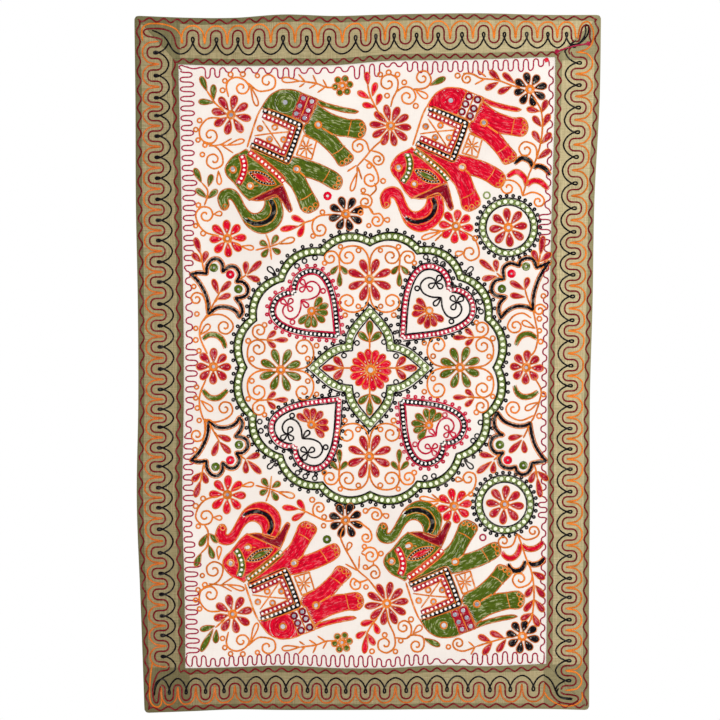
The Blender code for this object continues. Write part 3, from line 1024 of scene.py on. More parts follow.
def make_domes():
    """Round eyes of packed thread: half an ellipsoid each, from two rings of eight points and a top."""
    angle = np.arange(EYE_SIDES) / EYE_SIDES * TURN
    k = np.arange(EYE_SIDES)
    n = (k + 1) % EYE_SIDES
    top_point = 2 * EYE_SIDES
    quads = np.stack([k, k + EYE_SIDES, n + EYE_SIDES, n], -1).ravel()
    tris = np.stack([n + EYE_SIDES, k + EYE_SIDES, np.full(EYE_SIDES, top_point)], -1).ravel()
    one = np.concatenate([quads, tris, k])
    begin = np.concatenate([k * 4, len(quads) + k * 3, [len(quads) + len(tris)]])
    for (group, colour), rows in domes.items():
        place = np.array([r[0] for r in rows])
        way = np.array([r[1] for r in rows])
        size = np.array([(r[2], r[3]) for r in rows])
        side = np.stack([-way[:, 1], way[:, 0]], -1)
        centre = on_hanging(place)
        foot = front_depth(centre[:, 0], centre[:, 1]) + SINK - BASE_HIGH * 0.5
        layers = []
        for share, lift in EYE_LAYERS:
            a = (np.cos(angle) * share)[None, :, None] * size[:, 0][:, None, None] * way[:, None, :]
            b = (np.sin(angle) * share)[None, :, None] * size[:, 1][:, None, None] * side[:, None, :]
            flat = centre[:, None, :] + (a + b) * PX
            y = np.broadcast_to((foot - lift)[:, None], flat.shape[:2])
            layers.append(np.stack([flat[..., 0], y, -flat[..., 1]], -1))
        top = np.stack([centre[:, 0], foot - EYE_HIGH, -centre[:, 1]], -1)[:, None]
        points = np.concatenate(layers + [top], axis=1)
        shift = np.arange(len(rows))[:, None]
        corners = (one + shift * (top_point + 1)).ravel()
        starts = (begin + shift * len(one)).ravel()
        uv = np.tile(EYE_UV, (len(corners), 1))
        tint = np.repeat(rng.uniform(size=len(rows)), top_point + 1)
        name = f"{group}_eyes_{colour}"
        add_piece(name, points.reshape(-1, 3), corners, starts, FILLINGS[colour], uv, tint=tint)


def make_mirrors():
    """Small round mirrors that the model leaves out: discs of sixteen sides with a bevelled rim."""
    place = on_hanging([m[0] for m in mirrors])
    radius = np.array([m[1] for m in mirrors])
    front = front_depth(place[:, 0], place[:, 1])
    round_it = facing(np.arange(MIRROR_SIDES) / MIRROR_SIDES * TURN)
    rings = []
    for share, lift in MIRROR_LAYERS:
        x = place[:, 0][:, None] + radius[:, None] * share * round_it[:, 0]
        z = -place[:, 1][:, None] + radius[:, None] * share * round_it[:, 1]
        rings.append(np.stack([x, np.broadcast_to((front - lift)[:, None], x.shape), z], -1))
    points = np.stack(rings, 1)
    k = np.arange(MIRROR_SIDES)
    n = (k + 1) % MIRROR_SIDES
    rim, bevel = MIRROR_SIDES, 2 * MIRROR_SIDES
    one = np.concatenate([
        np.stack([k, n, n + rim, k + rim], -1).ravel(),
        np.stack([k + rim, n + rim, n + bevel, k + bevel], -1).ravel(),
        k + bevel,
        k[::-1],
    ])
    begin = np.concatenate([np.arange(bevel) * 4, [4 * bevel, 4 * bevel + MIRROR_SIDES]])
    shift = np.arange(len(mirrors))[:, None]
    corners = (one + shift * len(rings) * MIRROR_SIDES).ravel()
    starts = (begin + shift * len(one)).ravel()
    piece = add_piece("small_mirrors", points.reshape(-1, 3), corners, starts, GLASS)
    piece.data.shade_flat()
    return piece


# Motifs

def same(points):
    """The mapping that leaves places as they are."""
    return np.asarray(points, float)


MIDDLE_PX = (370.3, 367.8)


def turned_over(right=False, low=False):
    """A mapping that repeats the upper left quarter of the middle design in another quarter."""
    def at(points):
        p = np.array(points, float)
        if right:
            p[..., 0] = 2 * MIDDLE_PX[0] - p[..., 0]
        if low:
            p[..., 1] = 2 * MIDDLE_PX[1] - p[..., 1]
        return p
    return at


LOWER_HEIGHT = 0.977
DRAWN_IN_FROM_PX = 360
DRAWN_IN = 0.00015  # for each pixel from the mirror line


def lower(points):
    """The mapping that repeats the upper field below: turned over, shorter and drawn in at the right."""
    p = np.array(points, float)
    rise = MIRROR_LINE_PX - p[..., 1]
    p[..., 1] = MIRROR_LINE_PX + LOWER_HEIGHT * rise
    drawn_in = DRAWN_IN_FROM_PX + (p[..., 0] - DRAWN_IN_FROM_PX) * (1 - DRAWN_IN * rise)
    p[..., 0] = np.where(p[..., 0] > DRAWN_IN_FROM_PX, drawn_in, p[..., 0])
    return p


def bent(*parts):
    """Smooth stretches joined at corners."""
    lines = [curve(part) for part in parts]
    return np.vstack([line[:-1] for line in lines] + [lines[-1][-1:]])


def ribbon(path, width):
    """The closed outline of a band of a width along a path."""
    a, b = offset(path, width / 2), offset(path, -width / 2)
    return np.vstack([a, b[::-1], a[:1]])


def coil(stem, centre, turns=1.35, ending=1.1):
    """A scroll: a smooth stem that runs into a spiral round a centre, whose radius shrinks to its ending."""
    stem = np.asarray(stem, float)
    centre = np.asarray(centre, float)
    arm = stem[-1] - centre
    radius, start = np.hypot(*arm), np.arctan2(arm[1], arm[0])
    way = stem[-1] - stem[-2]
    hand = 1 if way @ np.array([-arm[1], arm[0]]) > 0 else -1
    s = np.linspace(0, 1, max(5, int(turns * 7)))[1:]
    r = ending + (radius - ending) * (1 - s) ** 0.9
    angle = start + hand * turns * TURN * s
    spiral = centre + r[:, None] * facing(angle)
    return curve(np.vstack([stem, spiral]))


def loop_drop(base, tip, width=5.0):
    """An open teardrop loop of one strand, from its base round the tip and back."""
    s = np.linspace(0, 1, 24)
    return two_sided(base, tip, s, width / 2 * np.sqrt(np.clip(np.sin(np.pi * s**2.2), 0, 1)))


# The border strips' lines. Shares run from 0 on the outer edge to 1 on the inner one.
StripLines = namedtuple("StripLines", [
    "which", "zigzag_out", "orange_out", "orange_in", "maroon_out", "maroon_in", "black_tip", "black_out",
    "zigzag_in", "pitch_out", "pitch_in",
])
STRIP_LINES = [
    StripLines("top", 0.08, 0.17, 0.555, 0.265, 0.645, 0.42, 0.78, 0.92, 14.2, 12.3),
    StripLines("left", 0.09, 0.18, 0.56, 0.285, 0.62, 0.44, 0.78, 0.89, 18.4, 18.0),
    StripLines("right", 0.09, 0.18, 0.555, 0.30, 0.65, 0.425, 0.78, 0.91, 17.2, 15.2),
    StripLines("bottom", 0.085, 0.17, 0.57, 0.255, 0.62, 0.405, 0.765, 0.905, 15.0, 14.0),
]
# Where each strip's black loops are, along it in pixels.
LOOPS = {
    "top": [192.8, 216.5, 237.9, 258.6, 283.1, 306.8, 329, 355.8, 375.9, 394, 416.6, 438.1, 462, 483.6,
            504.3, 526.6, 547.8, 566.5],
    "left": [52.8, 75.8, 98, 115.6, 136.2, 157.4, 178.3, 199.4, 220.4, 240.6, 262, 281.9, 304.1, 325.8,
             346.9, 369.1, 389.5, 409.2, 427.1, 447.9, 466.4, 487.7, 507.6, 529.1, 552.9, 573.4, 594.2,
             615.9, 635.3, 656.5],
    "right": [63, 85.3, 107.6, 132.3, 157, 183.4, 208.3, 232, 253.4, 274.9, 296.5, 320.4, 341.1, 365.8,
              385.7, 406.5, 428.6, 449, 469.1, 491.7, 511.7, 534.8, 556, 578.3, 597.2, 619.6, 640.7, 660.5,
              680.4],
    "bottom": [169.5, 186.3, 205.8, 224.1, 246, 265.8, 285.8, 307.6, 326.2, 345.8, 365.5, 384.4, 406.2, 427,
               446.9, 467.9, 489.9, 510.2, 533.3],
}
ZIGZAG_RISE = 0.04


def on_strip(which, along, share):
    """Pixels for places along a strip and shares across it."""
    along, share = np.broadcast_arrays(np.asarray(along, float), share)
    if which in ("top", "bottom"):
        at = (along - ORIGIN_PX[0]) * PX
        outer, inner = column(ENDS, which + "_out", at), column(ENDS, which + "_in", at)
        return np.stack([along, (outer + share * (inner - outer)) / PX + ORIGIN_PX[1]], -1)
    at = (along - ORIGIN_PX[1]) * PX
    outer, inner = column(SIDES, which + "_out", at), column(SIDES, which + "_in", at)
    return np.stack([(outer + share * (inner - outer)) / PX + ORIGIN_PX[0], along], -1)


# One wave of each line, as (part of a wave along, part of the way from its outer to its inner share).
ARC_WAVE = [(-0.49, 1), (-0.46, 0.6), (-0.40, 0.30), (-0.2, 0.05), (0, 0), (0.2, 0.05), (0.40, 0.30),
            (0.46, 0.6), (0.49, 1)]
LOOP_WAVE = [(-0.5, 1), (-0.36, 0.95), (-0.22, 0.82), (-0.12, 0.66), (-0.04, 0.46), (0, 0.34), (0.05, 0.18),
             (0.048, 0.04), (0, 0), (-0.048, 0.04), (-0.05, 0.18), (0, 0.34), (0.04, 0.46), (0.12, 0.66),
             (0.22, 0.82), (0.36, 0.95)]


def sew_strip(lines):
    """A strip's lines: black scallops with loops, orange arcs, a maroon meander and two zigzags."""
    which, loops = lines.which, np.array(LOOPS[lines.which])
    count = len(loops)

    def along(u):
        low = loops[0] + u * (loops[1] - loops[0])
        high = loops[-1] + (u - count + 1) * (loops[-1] - loops[-2])
        inner = np.interp(u, np.arange(count), loops)
        return np.where(u < 0, low, np.where(u > count - 1, high, inner))

    def wave(shape, outer, inner, ks, tail=()):
        u = np.concatenate([[k + a for a, _ in shape] for k in ks] + [[t[0] for t in tail]])
        share = np.concatenate([[b for _, b in shape] for _ in ks] + [[t[1] for t in tail]])
        share = share + rng.normal(0, 0.006, len(share))
        return curve(on_strip(which, along(u), outer + share * (inner - outer)))

    ks = range(count)
    tip, out = lines.black_tip, lines.black_out
    arc = "amber" if which in ("left", "bottom") else "orange"
    sew("border", "black", wave(LOOP_WAVE, tip, out, ks, [(count - 0.5, 1.0)]),
        width=BORDER_LINE, high=LOW_LINE_HIGH)
    for k in ks:
        if which == "left":
            knot = on_strip(which, loops[k], np.linspace(tip, tip + 0.09, 4))
            sew("border", "black", knot, width=1.8 * BORDER_LINE, high=1.2 * MM, taper=0.8)
        sew("border", arc, wave(ARC_WAVE, lines.orange_out, lines.orange_in, [k]),
            width=BORDER_LINE, high=LOW_LINE_HIGH)
    u = np.arange(-0.5, count - 0.5, 0.02)
    middle_share, swing = (lines.maroon_out + lines.maroon_in) / 2, (lines.maroon_in - lines.maroon_out) / 2
    share = middle_share - swing * np.cos(TURN * u)
    bulge = 0.085 * np.sin(2 * TURN * u)
    sew("border", "rust", on_strip(which, along(u + bulge), share), width=BORDER_LINE, high=LOW_LINE_HIGH)
    is_end = which in ("top", "bottom")
    for level in (lines.zigzag_out, lines.zigzag_in):
        rim = "out" if level < 0.5 else "in"
        ends = []
        for other in ("left", "right") if is_end else ("top", "bottom"):
            side, end = (other, which) if is_end else (which, other)
            place = crossing(f"{side}_{rim}", f"{end}_{rim}")[0 if is_end else 1]
            ends.append(place / PX + ORIGIN_PX[0 if is_end else 1])
        shy = (level if rim == "out" else level - 1) * STRIP_WIDTH / PX
        steps = np.arange(ends[0] + shy, ends[1] - shy, STEP_PX)
        pitch = lines.pitch_out if rim == "out" else lines.pitch_in
        zigzag = np.sin(TURN * (steps - steps[0]) / pitch + 0.5 * np.sin(TURN * steps / (6.3 * pitch)))
        sew("border", "rust", on_strip(which, steps, level + ZIGZAG_RISE * zigzag),
            width=BORDER_LINE, high=LOW_LINE_HIGH)


# The lines that join the strips' patterns round the corners, in pixels.
CORNERS = [
    ("orange", [(143, 41.3), (142, 35), (142.6, 28.5), (147.5, 24.5), (156, 23.8), (166, 25), (174.4, 28.3),
                (179.3, 33), (182.2, 39.8), (182.6, 44)]),
    ("rust", [(181.5, 49.2), (177.8, 47.8), (175.6, 43.5), (174.2, 37.6), (170.3, 31.8), (162.5, 29.2),
              (153, 28.8), (145.6, 29.8), (143.8, 32.8), (146.6, 36), (153.4, 37.5), (160, 39),
              (162.6, 41.4)]),
    ("black", [(152.2, 30.6), (158.3, 32.9), (164.6, 37.3), (168.6, 42.9), (172, 49), (176.4, 53),
               (182, 54.4)]),
    ("orange", [(577.6, 39), (579.6, 28.6), (583, 23.2), (588.4, 22.2), (592.4, 28.6), (593.4, 36.7),
                (591.4, 44.6), (586.6, 49.2), (579.4, 51.8)]),
    ("rust", [(575.6, 42), (579, 40.4), (580.6, 34), (582.4, 27.6), (586.6, 25), (589.8, 29.6), (589.6, 37),
              (589.4, 43), (572, 46.8), (556.6, 52)]),
    ("rust", [(571, 47.6), (568.6, 51), (570, 54.6)]),
    ("black", [(576, 40.6), (570.6, 44.6), (577, 44.2), (582.4, 39.6), (585.6, 32.6), (585.4, 26.4),
               (588.2, 25.8), (588.6, 31), (586.4, 36.6), (581.6, 41.8), (575.6, 45.4)]),
    ("black", [(577, 44), (569.4, 46.8), (565.2, 50.6), (564.6, 53)]),
    ("black", [(175.4, 665), (175, 669.6), (170.4, 673.6), (163.2, 677.6), (158, 682.4), (155.4, 688),
               (154.4, 695.4)]),
    ("black", [(154.6, 690), (156.4, 682.6), (161.2, 679), (162.6, 679)]),
    ("rust", [(169.4, 666.4), (167.6, 669.8), (159.4, 671.8), (155, 679.5), (152.8, 690.2), (154.4, 700.6),
              (158, 702), (159.2, 693.3), (160.6, 685.8)]),
    ("orange", [(152.6, 662), (151, 671.8), (149.8, 687.1), (150.2, 699.4), (153.2, 705), (158.3, 706.6),
                (161.6, 702.5), (161.2, 690)]),
    ("black", [(543.8, 675.2), (548.8, 678.2), (552.8, 683.6), (555.4, 690), (559.6, 696.4),
               (572.4, 698.4)]),
    ("black", [(558.6, 688), (556.8, 692), (560.8, 697.4), (571.8, 699.4)]),
    ("rust", [(543.8, 681.2), (548.9, 686.8), (552.1, 694.8), (559.3, 701.6), (571, 703.4), (577.4, 700.4),
              (577.4, 696.4), (571.6, 694.6), (563.6, 693.8), (560.4, 691.4)]),
    ("orange", [(544.4, 691.8), (547.4, 697), (555, 702.6), (566.6, 705.8), (576.6, 703.6), (582, 698),
                (581.6, 691.4)]),
]


def sew_corners():
    """The lines that turn the corners, and the short tack with its knots at the upper right one."""
    for colour, places in CORNERS:
        sew("border", colour, curve(places), width=BORDER_LINE, high=1.05 * MM)
    tack = [(556.7, 51.7), (572, 46.6), (588.3, 43.7)]
    sew("border", "pink", curve(tack), width=BORDER_LINE, high=1.2 * MM)
    for place, colour in ((tack[0], "pink"), (tack[-1], "pink"), ((546.5, 60), "red")):
        ring("border", colour, place, 1.2, width=1.25 * LINE, high=1.3 * MM)


# The thin meander round the field: stretches along the field's edges, how far from the edge it swings.
EdgeRun = namedtuple("EdgeRun", "which start stop pitch near far")
EDGE_RUNS = [
    EdgeRun("left", 655, 560, 9.6, 1.0, 14.0),
    EdgeRun("left", 560, 436, 10.6, 1.0, 11.0),
    EdgeRun("left", 436, 400, 12.6, 2.5, 8.5),
    EdgeRun("left", 400, 347, 11.0, 2.0, 11.5),
    EdgeRun("left", 347, 268, 12.2, 2.5, 8.5),
    EdgeRun("left", 268, 118, 9.7, 1.5, 12.5),
    EdgeRun("left", 118, 70, 9.4, 1.5, 17.0),
    EdgeRun("top", 184, 203, 19.0, 2.0, 3.5),
    EdgeRun("top", 203, 222, 9.5, 2.5, 13.5),
    EdgeRun("top", 222, 275, 12.3, 2.0, 6.5),
    EdgeRun("top", 275, 297, 10.5, 2.0, 11.0),
    EdgeRun("top", 297, 352, 13.0, 2.0, 6.5),
    EdgeRun("top", 352, 382, 10.0, 2.0, 13.0),
    EdgeRun("top", 382, 405, 13.0, 2.0, 5.5),
    EdgeRun("top", 405, 546, 10.1, 1.5, 12.5),
    EdgeRun("right", 66, 212, 14.0, 2.0, 6.5),
    EdgeRun("right", 212, 242, 10.0, 1.0, 12.5),
    EdgeRun("right", 242, 500, 12.6, 2.0, 7.0),
    EdgeRun("right", 500, 520, 10.0, 1.0, 11.0),
    EdgeRun("right", 520, 655, 13.4, 2.0, 6.5),
    EdgeRun("bottom", 540, 470, 9.4, 1.5, 12.0),
    EdgeRun("bottom", 470, 430, 13.0, 2.0, 6.0),
    EdgeRun("bottom", 430, 190, 9.4, 1.5, 12.0),
]
# The meander's turns at the field's corners.
EDGE_CORNERS = [
    [(182, 70.4), (179.2, 67.6), (180.6, 65.4), (185, 66.4)],
    [(545.4, 62.6), (546.6, 59.8), (548.8, 61.4), (549.2, 66.4)],
    [(187.4, 655), (186.2, 658.6), (186.8, 663.4), (190.4, 667)],
    [(539.6, 662.6), (541.6, 663.8), (543.8, 661.6), (544.2, 654)],
]


def sew_edge_runs():
    """One strand round the field: each stretch swings evenly, its longer swings bulging like loops."""
    for which in ("left", "top", "right", "bottom"):
        parts = []
        for run in (r for r in EDGE_RUNS if r.which == which):
            waves = max(1, round(abs(run.stop - run.start) / run.pitch))
            u = np.arange(0, waves, 0.04)
            reach = run.far - run.near
            bulge = 0.085 * np.sin(2 * TURN * u) * min(1.0, reach / 9.0)
            along = run.start + (u + bulge) / waves * (run.stop - run.start)
            swing = 1 + 0.16 * np.interp(u, np.arange(waves + 1), rng.normal(0, 1, waves + 1))
            away = run.near + reach * swing * (1 - np.cos(TURN * u)) / 2
            parts.append(on_strip(which, along, 1 + away * PX / STRIP_WIDTH))
        sew("field_edge", "pink", np.vstack(parts), width=EDGE_LINE, high=LOW_LINE_HIGH)
    for corner in EDGE_CORNERS:
        sew("field_edge", "pink", curve(corner), width=EDGE_LINE, high=LOW_LINE_HIGH)


# Flowers: place, reach, number of petals, direction of the first one and colour of the filling.
Flower = namedtuple("Flower", "x y reach petals first fill")
FLOWERS = [
    Flower(231.0, 114.8, 20.5, 8, 12, "crimson"),
    Flower(227.5, 238.6, 18.8, 8, -3.4, "red"),
    Flower(345.8, 214.0, 17.5, 8, 27.8, "black"),
    Flower(390.5, 126.0, 21.5, 10, 5, "crimson"),
    Flower(369.5, 279.3, 22.4, 8, 22, "crimson"),
    Flower(369.3, 456.4, 22.6, 8, 23.4, "crimson"),
    Flower(280.8, 369.9, 21.6, 8, 24.3, "green"),
    Flower(460.1, 367.4, 21.2, 8, 21.2, "green"),
    Flower(213.4, 366.8, 18.0, 8, 0.8, "crimson"),
    Flower(526.3, 367.4, 16.8, 8, 3.5, "crimson"),
    Flower(508.3, 227.4, 19.4, 8, -6, "crimson"),
    Flower(456.1, 226.3, 17.2, 8, 7, "red"),
    Flower(529.8, 89.3, 17.0, 8, 31.5, "black"),
    Flower(227.5, 494.7, 19.2, 8, 2.6, "red"),
    Flower(345.5, 520.3, 17.6, 8, 18.6, "black"),
    Flower(232.6, 614.1, 19.8, 8, 31.5, "crimson"),
    Flower(386.8, 603.6, 21.8, 10, 28.5, "crimson"),
    Flower(504.6, 504.5, 19.2, 8, 5.6, "crimson"),
    Flower(454.1, 506.1, 17.2, 8, 34.5, "red"),
    Flower(522.3, 636.4, 17.0, 8, 11.2, "black"),
]
PETAL_START = 4.6


def petals(group, centre, reach, angles, fill, width=6.0, start=PETAL_START):
    """Petals round a centre at the given angles (degrees, clockwise from the right)."""
    for angle in np.radians(angles):
        way = facing(angle)
        grown = reach * rng.uniform(0.95, 1.04)
        leaf(group, fill, centre + way * start, centre + way * grown, width)


def middle(group, centre, radius=3.6):
    """Two rounds of orange thread that hold a flower's mirror."""
    ring(group, "orange", centre, radius - 1.0, width=1.15 * LINE, high=1.5 * MM)
    ring(group, "orange", centre, radius + 0.3, width=LINE, high=1.2 * MM)


def sew_flowers():
    """The whole flowers, each with its petals evenly round a ringed mirror."""
    for f in FLOWERS:
        centre = np.array([f.x, f.y])
        angles = f.first + np.arange(f.petals) * 360 / f.petals
        petals("flowers", centre, f.reach, angles, f.fill, width=8.4 if f.petals < 10 else 7.8)
        middle("flowers", centre)


def sew_middle_flower():
    """The red flower of fourteen petals in the star."""
    centre = np.array([370.5, 370.1])
    petals("flowers", centre, 21.3, np.arange(14) * 360 / 14 + 5, "red", width=8.4, start=5.2)
    middle("flowers", centre, 4.6)


FAN = [-99, -66, -37, -5, 33, 60, 90]  # degrees off the heart's axis
Fan = namedtuple("Fan", "x y axis fill")
FANS = [
    Fan(311.5, 311.0, 45, "green"),
    Fan(429.2, 310.8, 135, "crimson"),
    Fan(311.4, 424.7, -45, "crimson"),
    Fan(429.0, 425.3, -135, "green"),
]


def sew_fans():
    """The half flowers that open towards the hearts' tips."""
    for f in FANS:
        centre = np.array([f.x, f.y])
        petals("flowers", centre, 17.3, f.axis + np.array(FAN), f.fill, width=7.4, start=4.2)
        middle("flowers", centre, 3.2)


def sew_dot_flower(centre):
    """A ring of six round dots, each filled and edged."""
    centre = np.array(centre, float)
    for angle in np.arange(6) * TURN / 6 - 1.2:
        dot = centre + 7.4 * facing(angle)
        ring("flowers", "orange", dot, 3.1, width=0.7 * LINE)
        ring("flowers", "green", dot, 1.5, width=1.1 * LINE, high=FILL_HIGH)
        domes["flowers", "green"].append((dot, np.array([1.0, 0.0]), 1.2, 1.2))
    middle("flowers", centre, 3.0)


def sew_four_leaves(at):
    """A small flower of four green leaves, with rays and an open drop."""
    joint = np.array([270.0, 246.7])
    for tip in [(259.8, 241.6), (277.6, 235.4), (262.2, 257), (280.2, 253.4)]:
        tip = np.array(tip)
        leaf("flowers", "green", at(joint + (tip - joint) * 0.2), at(tip), 6.6)
    for ray in ([(268.4, 240.2), (265.9, 234.2)], [(271.6, 259.7)], [(255.5, 250.2)], [(279, 243.4)]):
        sew("flowers", "orange", at(curve([joint, *ray])))
    sew("flowers", "orange", at(loop_drop((278, 243.8), (294.5, 239), 5.6)))


# The medallion, star, wheels and hearts.

def bobbles(group, colour, path, pitch, away, radius, width, start=0.0):
    """Small rings in a row beside a path."""
    places, ways = evenly(path, pitch, start)
    for place, way in zip(places, ways):
        centre = place + np.array([-way[1], way[0]]) * away
        ring(group, colour, centre, radius, width=width, high=LOW_LINE_HIGH)


MEDALLION_PX = np.array([370.0, 367.5])
LOBES = 16
MEDALLION_CUSP = 126.7
MEDALLION_BULGE = 7.4
# How the hand-stitched round wanders in and out: waves round it, their reach in pixels and where they start.
WANDERS = [(1, 0.47, -1.34), (2, 0.87, 1.43), (3, 0.72, 1.69)]


def lobed(level):
    """A round of equal lobes at a level off the band's middle: each bulges as a parabola from its cusps."""
    n = int(TURN * (MEDALLION_CUSP + level) / STEP_PX)
    n -= n % LOBES
    angle = np.arange(n + 1) / n * TURN
    share = (angle * LOBES / TURN) % 1.0
    radius = MEDALLION_CUSP + level + MEDALLION_BULGE * (1 - (2 * share - 1) ** 2)
    for waves, reach, start in WANDERS:
        radius = radius + reach * np.cos(waves * angle + start)
    return MEDALLION_PX + radius[:, None] * facing(angle)


OPEN_CIRCLES = [
    (297, 266), (304.5, 261), (315, 257.7), (425.8, 257), (435, 259.3), (443, 264), (475, 291.7),
    (480, 302), (481, 311.6), (480.4, 422.4), (477, 436), (473, 440.7), (433.8, 476), (425, 477.7),
    (297.6, 472.8), (305.3, 476.3), (314.8, 478.2), (259.8, 421.6), (260.9, 430.8),
]


def sew_medallion():
    """The medallion's lobed band: green base, pale eyes, black lines both sides and black bobbles."""
    outer, inner, middle_line = lobed(4.0), lobed(-4.0), lobed(0.0)
    green_band("medallion", middle_line, 7.4, 6.0)
    for line in (outer, inner):
        sew("medallion", "black", line, width=0.84 * LINE, closed=True)
    for level in (-2.9, 2.9):
        sew("medallion", "green", lobed(level), width=0.42 * LINE, high=0.9 * MM, closed=True)
    bobbles("medallion", "black", outer, 8.3, -2.5, 1.25, width=0.92 * LINE)
    for place in OPEN_CIRCLES:
        ring("medallion", "black", place, 2.3, 0.8 * LINE)
    for right in (False, True):
        for low in (False, True):
            at = turned_over(right, low)
            sew("medallion", "black", at(loop_drop((276.5, 275.5), (267.8, 267.2), 4.6)), width=0.8 * LINE)


STAR_OUTER = [(0, -63.5), (-4.5, -58), (-12, -50), (-19.5, -40.5), (-23.6, -32), (-24.2, -25.2)]
STAR_INNER = [(0, -50.8), (-4, -46), (-10.5, -38), (-15.2, -29.5), (-16.9, -22), (-17.2, -17.6)]
STAR_PX = np.array([369.7, 368.0])
STAR_CIRCLES = [
    (384, 342), (357, 343), (344, 355.5), (396, 356), (340, 382), (357, 395), (384, 395), (396, 382),
]


def sew_star():
    """The four-pointed star: an ogee from tip to waist, turned over and round into eight sides."""
    rounds = []
    for half in (STAR_OUTER, STAR_INNER):
        side = curve(half)
        tip = np.vstack([side[::-1], side[1:] * (-1, 1)])
        quarter = [tip]
        for _ in range(3):
            last = quarter[-1]
            quarter.append(np.stack([-last[:, 1], last[:, 0]], -1))
        rounds.append(STAR_PX + np.vstack([q[:-1] for q in quarter] + [quarter[0][:1]]))
    outer, inner = rounds
    n = min(len(outer), len(inner))
    outer_part, inner_part = (line[np.linspace(0, len(line) - 1, n).astype(int)] for line in rounds)
    green_band("star", (outer_part + inner_part) / 2, 8.0, 5.4)
    for line in rounds:
        sew("star", "black", line, width=0.8 * LINE, closed=True)
    bobbles("star", "black", outer, 7.6, -2.6, 1.3, width=0.95 * LINE)
    for place in STAR_CIRCLES:
        ring("star", "black", place, 2.3, 0.8 * LINE)


def sew_wheel(centre):
    """A round green band with pale eyes, black rims and bobbles."""
    for radius in (22.3, 29.4):
        sew("wheels", "black", circle(centre, radius), closed=True, width=0.8 * LINE)
    green_band("wheels", circle(centre, 25.9), 6.2, 6.2)
    bobbles("wheels", "black", circle(centre, 29.4), 5.96, -2.5, 1.2, width=0.95 * LINE)


HEART_HALF = [(0, 0), (-5, 4.6), (-8.6, 14), (-6.8, 22.8), (-2.3, 28.9), (3.9, 32), (12, 32), (22.6, 28.5),
              (33.7, 21.9), (43.7, 14.3), (53.2, 6.3), (61, 0)]
HEART_LONG = 61.0
HEART_CURL = np.array([
    (9.5, 0), (15.5, 7), (18, 15), (15.2, 21.2), (9.6, 22.9), (4.4, 20.9), (2.2, 16.4), (3.4, 12.8),
])
HEART_CURL_MIDDLE = np.array([5.4, 14.6])
HEART_JOINT = np.array([3.4, 13.0])
HEART_LOOPS = np.array([(-4.4, 14.2), (2.6, 5.6), (10.6, 14.6)])
HEART_CIRCLE = np.array([18.9, 21.8])
Heart = namedtuple("Heart", "cleft tip band eye lines beads")
HEARTS = [
    Heart((294.3, 293.2), (337.8, 336.1), "black", "white", "rose", "rose"),
    Heart((448.6, 290), (402.4, 338), "rose", "white", "black", "black"),
    Heart((295.2, 446), (339.4, 399), "rose", "white", "black", "black"),
    Heart((442.6, 442.6), (401.6, 401), "black", "white", "rose", "rose"),
]


def sew_heart(heart):
    """A heart: a beaded band, lines inside and out, bobbles round it and two curls with three-leaved ends."""
    cleft, tip = np.array(heart.cleft), np.array(heart.tip)
    ahead = (tip - cleft) / HEART_LONG
    aside = np.array([ahead[1], -ahead[0]])

    at = placed(cleft, ahead, aside)
    half = curve(HEART_HALF)
    within = at((25, 0))
    for side in (1, -1):
        band = at(half * (1, side))
        beaded_band("hearts", heart.band, heart.eye, band, 5.4, 4.2, eye_size=0.62)
        grown, plain_size = (np.hypot(*(line - within).T).sum() for line in (offset(band, 1.0), band))
        outwards = 1 if grown > plain_size else -1
        outer, inner = offset(band, 3.3 * outwards), offset(band, -3.1 * outwards)
        sew("hearts", heart.lines, outer, width=0.8 * LINE)
        sew("hearts", heart.lines, inner[4:-3], width=0.95 * LINE)
        bobbles("hearts", heart.beads, outer, 7.4, 2.3 * outwards, 1.25, width=0.95 * LINE, start=4.0)
    for side in (1, -1):
        mirror = np.array([1.0, side])
        curl = coil(HEART_CURL * mirror, HEART_CURL_MIDDLE * mirror, turns=0.12, ending=2.0)
        sew("hearts", heart.lines, at(curl[:-2]), width=LINE)
        for loop in HEART_LOOPS:
            drop = loop_drop(HEART_JOINT * mirror, loop * mirror, 4.6)
            sew("hearts", heart.lines, at(drop), width=0.9 * LINE)
        ring("hearts", heart.lines, at(HEART_CIRCLE * mirror), 2.3, 0.9 * LINE)
    sew("hearts", heart.lines, at(loop_drop((9.6, 0), (19.5, 0), 4.2)), width=0.95 * LINE)
    ring("hearts", heart.band, at((59.6, 0)), 1.0, width=1.2 * LINE, high=0.7 * MM)


# The elephants, as the upper left one stands; the others are moved and turned over from it.
BACK_PX = np.array([285.2, 102.4])
LEAN_FROM_PX, SHORTER_FROM_PX = 72, 36  # below and behind the back's mirror
Elephant = namedtuple("Elephant", "across drop down_scale body band eye strap lean shorter")
ELEPHANTS = [
    Elephant(-17.7, 18.8, 1.0, "green", "red", "red", "filled", 0.0, 0.0),
    Elephant(17.9, 18.4, 1.0, "red", "green", "green", "open", 0.13, 0.08),
    Elephant(-18.2, 131.5, -0.95, "red", "green", "green", "open", 0.0, 0.0),
    Elephant(16.4, 131.2, -0.95, "green", "red", "red", "filled", 0.0, 0.0),
]
RUMP = ([(261.3, 108.4), (265.2, 101.8), (270.8, 94.9), (279, 90.2), (287.1, 89.4), (295.3, 90.4),
         (301.4, 92.6)],
        [(301.4, 92.6), (291.8, 117)], [(291.8, 117), (276.5, 112), (261.3, 108.4)])
STRAP = ([(301.4, 92.9), (317.2, 99)], [(317.2, 99), (307.8, 123.5)], [(307.8, 123.5), (292, 117.1)],
         [(292, 117.1), (301.4, 92.9)])
TAIL = ([(318.3, 99.8), (328, 103.6), (342.2, 107.2), (354, 109.6), (358.6, 111.6)],
        [(358.6, 111.6), (354.5, 113.2), (344.3, 112.2), (332, 109.2), (321.8, 105.9), (317, 102.2)],
        [(317, 102.2), (318.3, 99.8)])
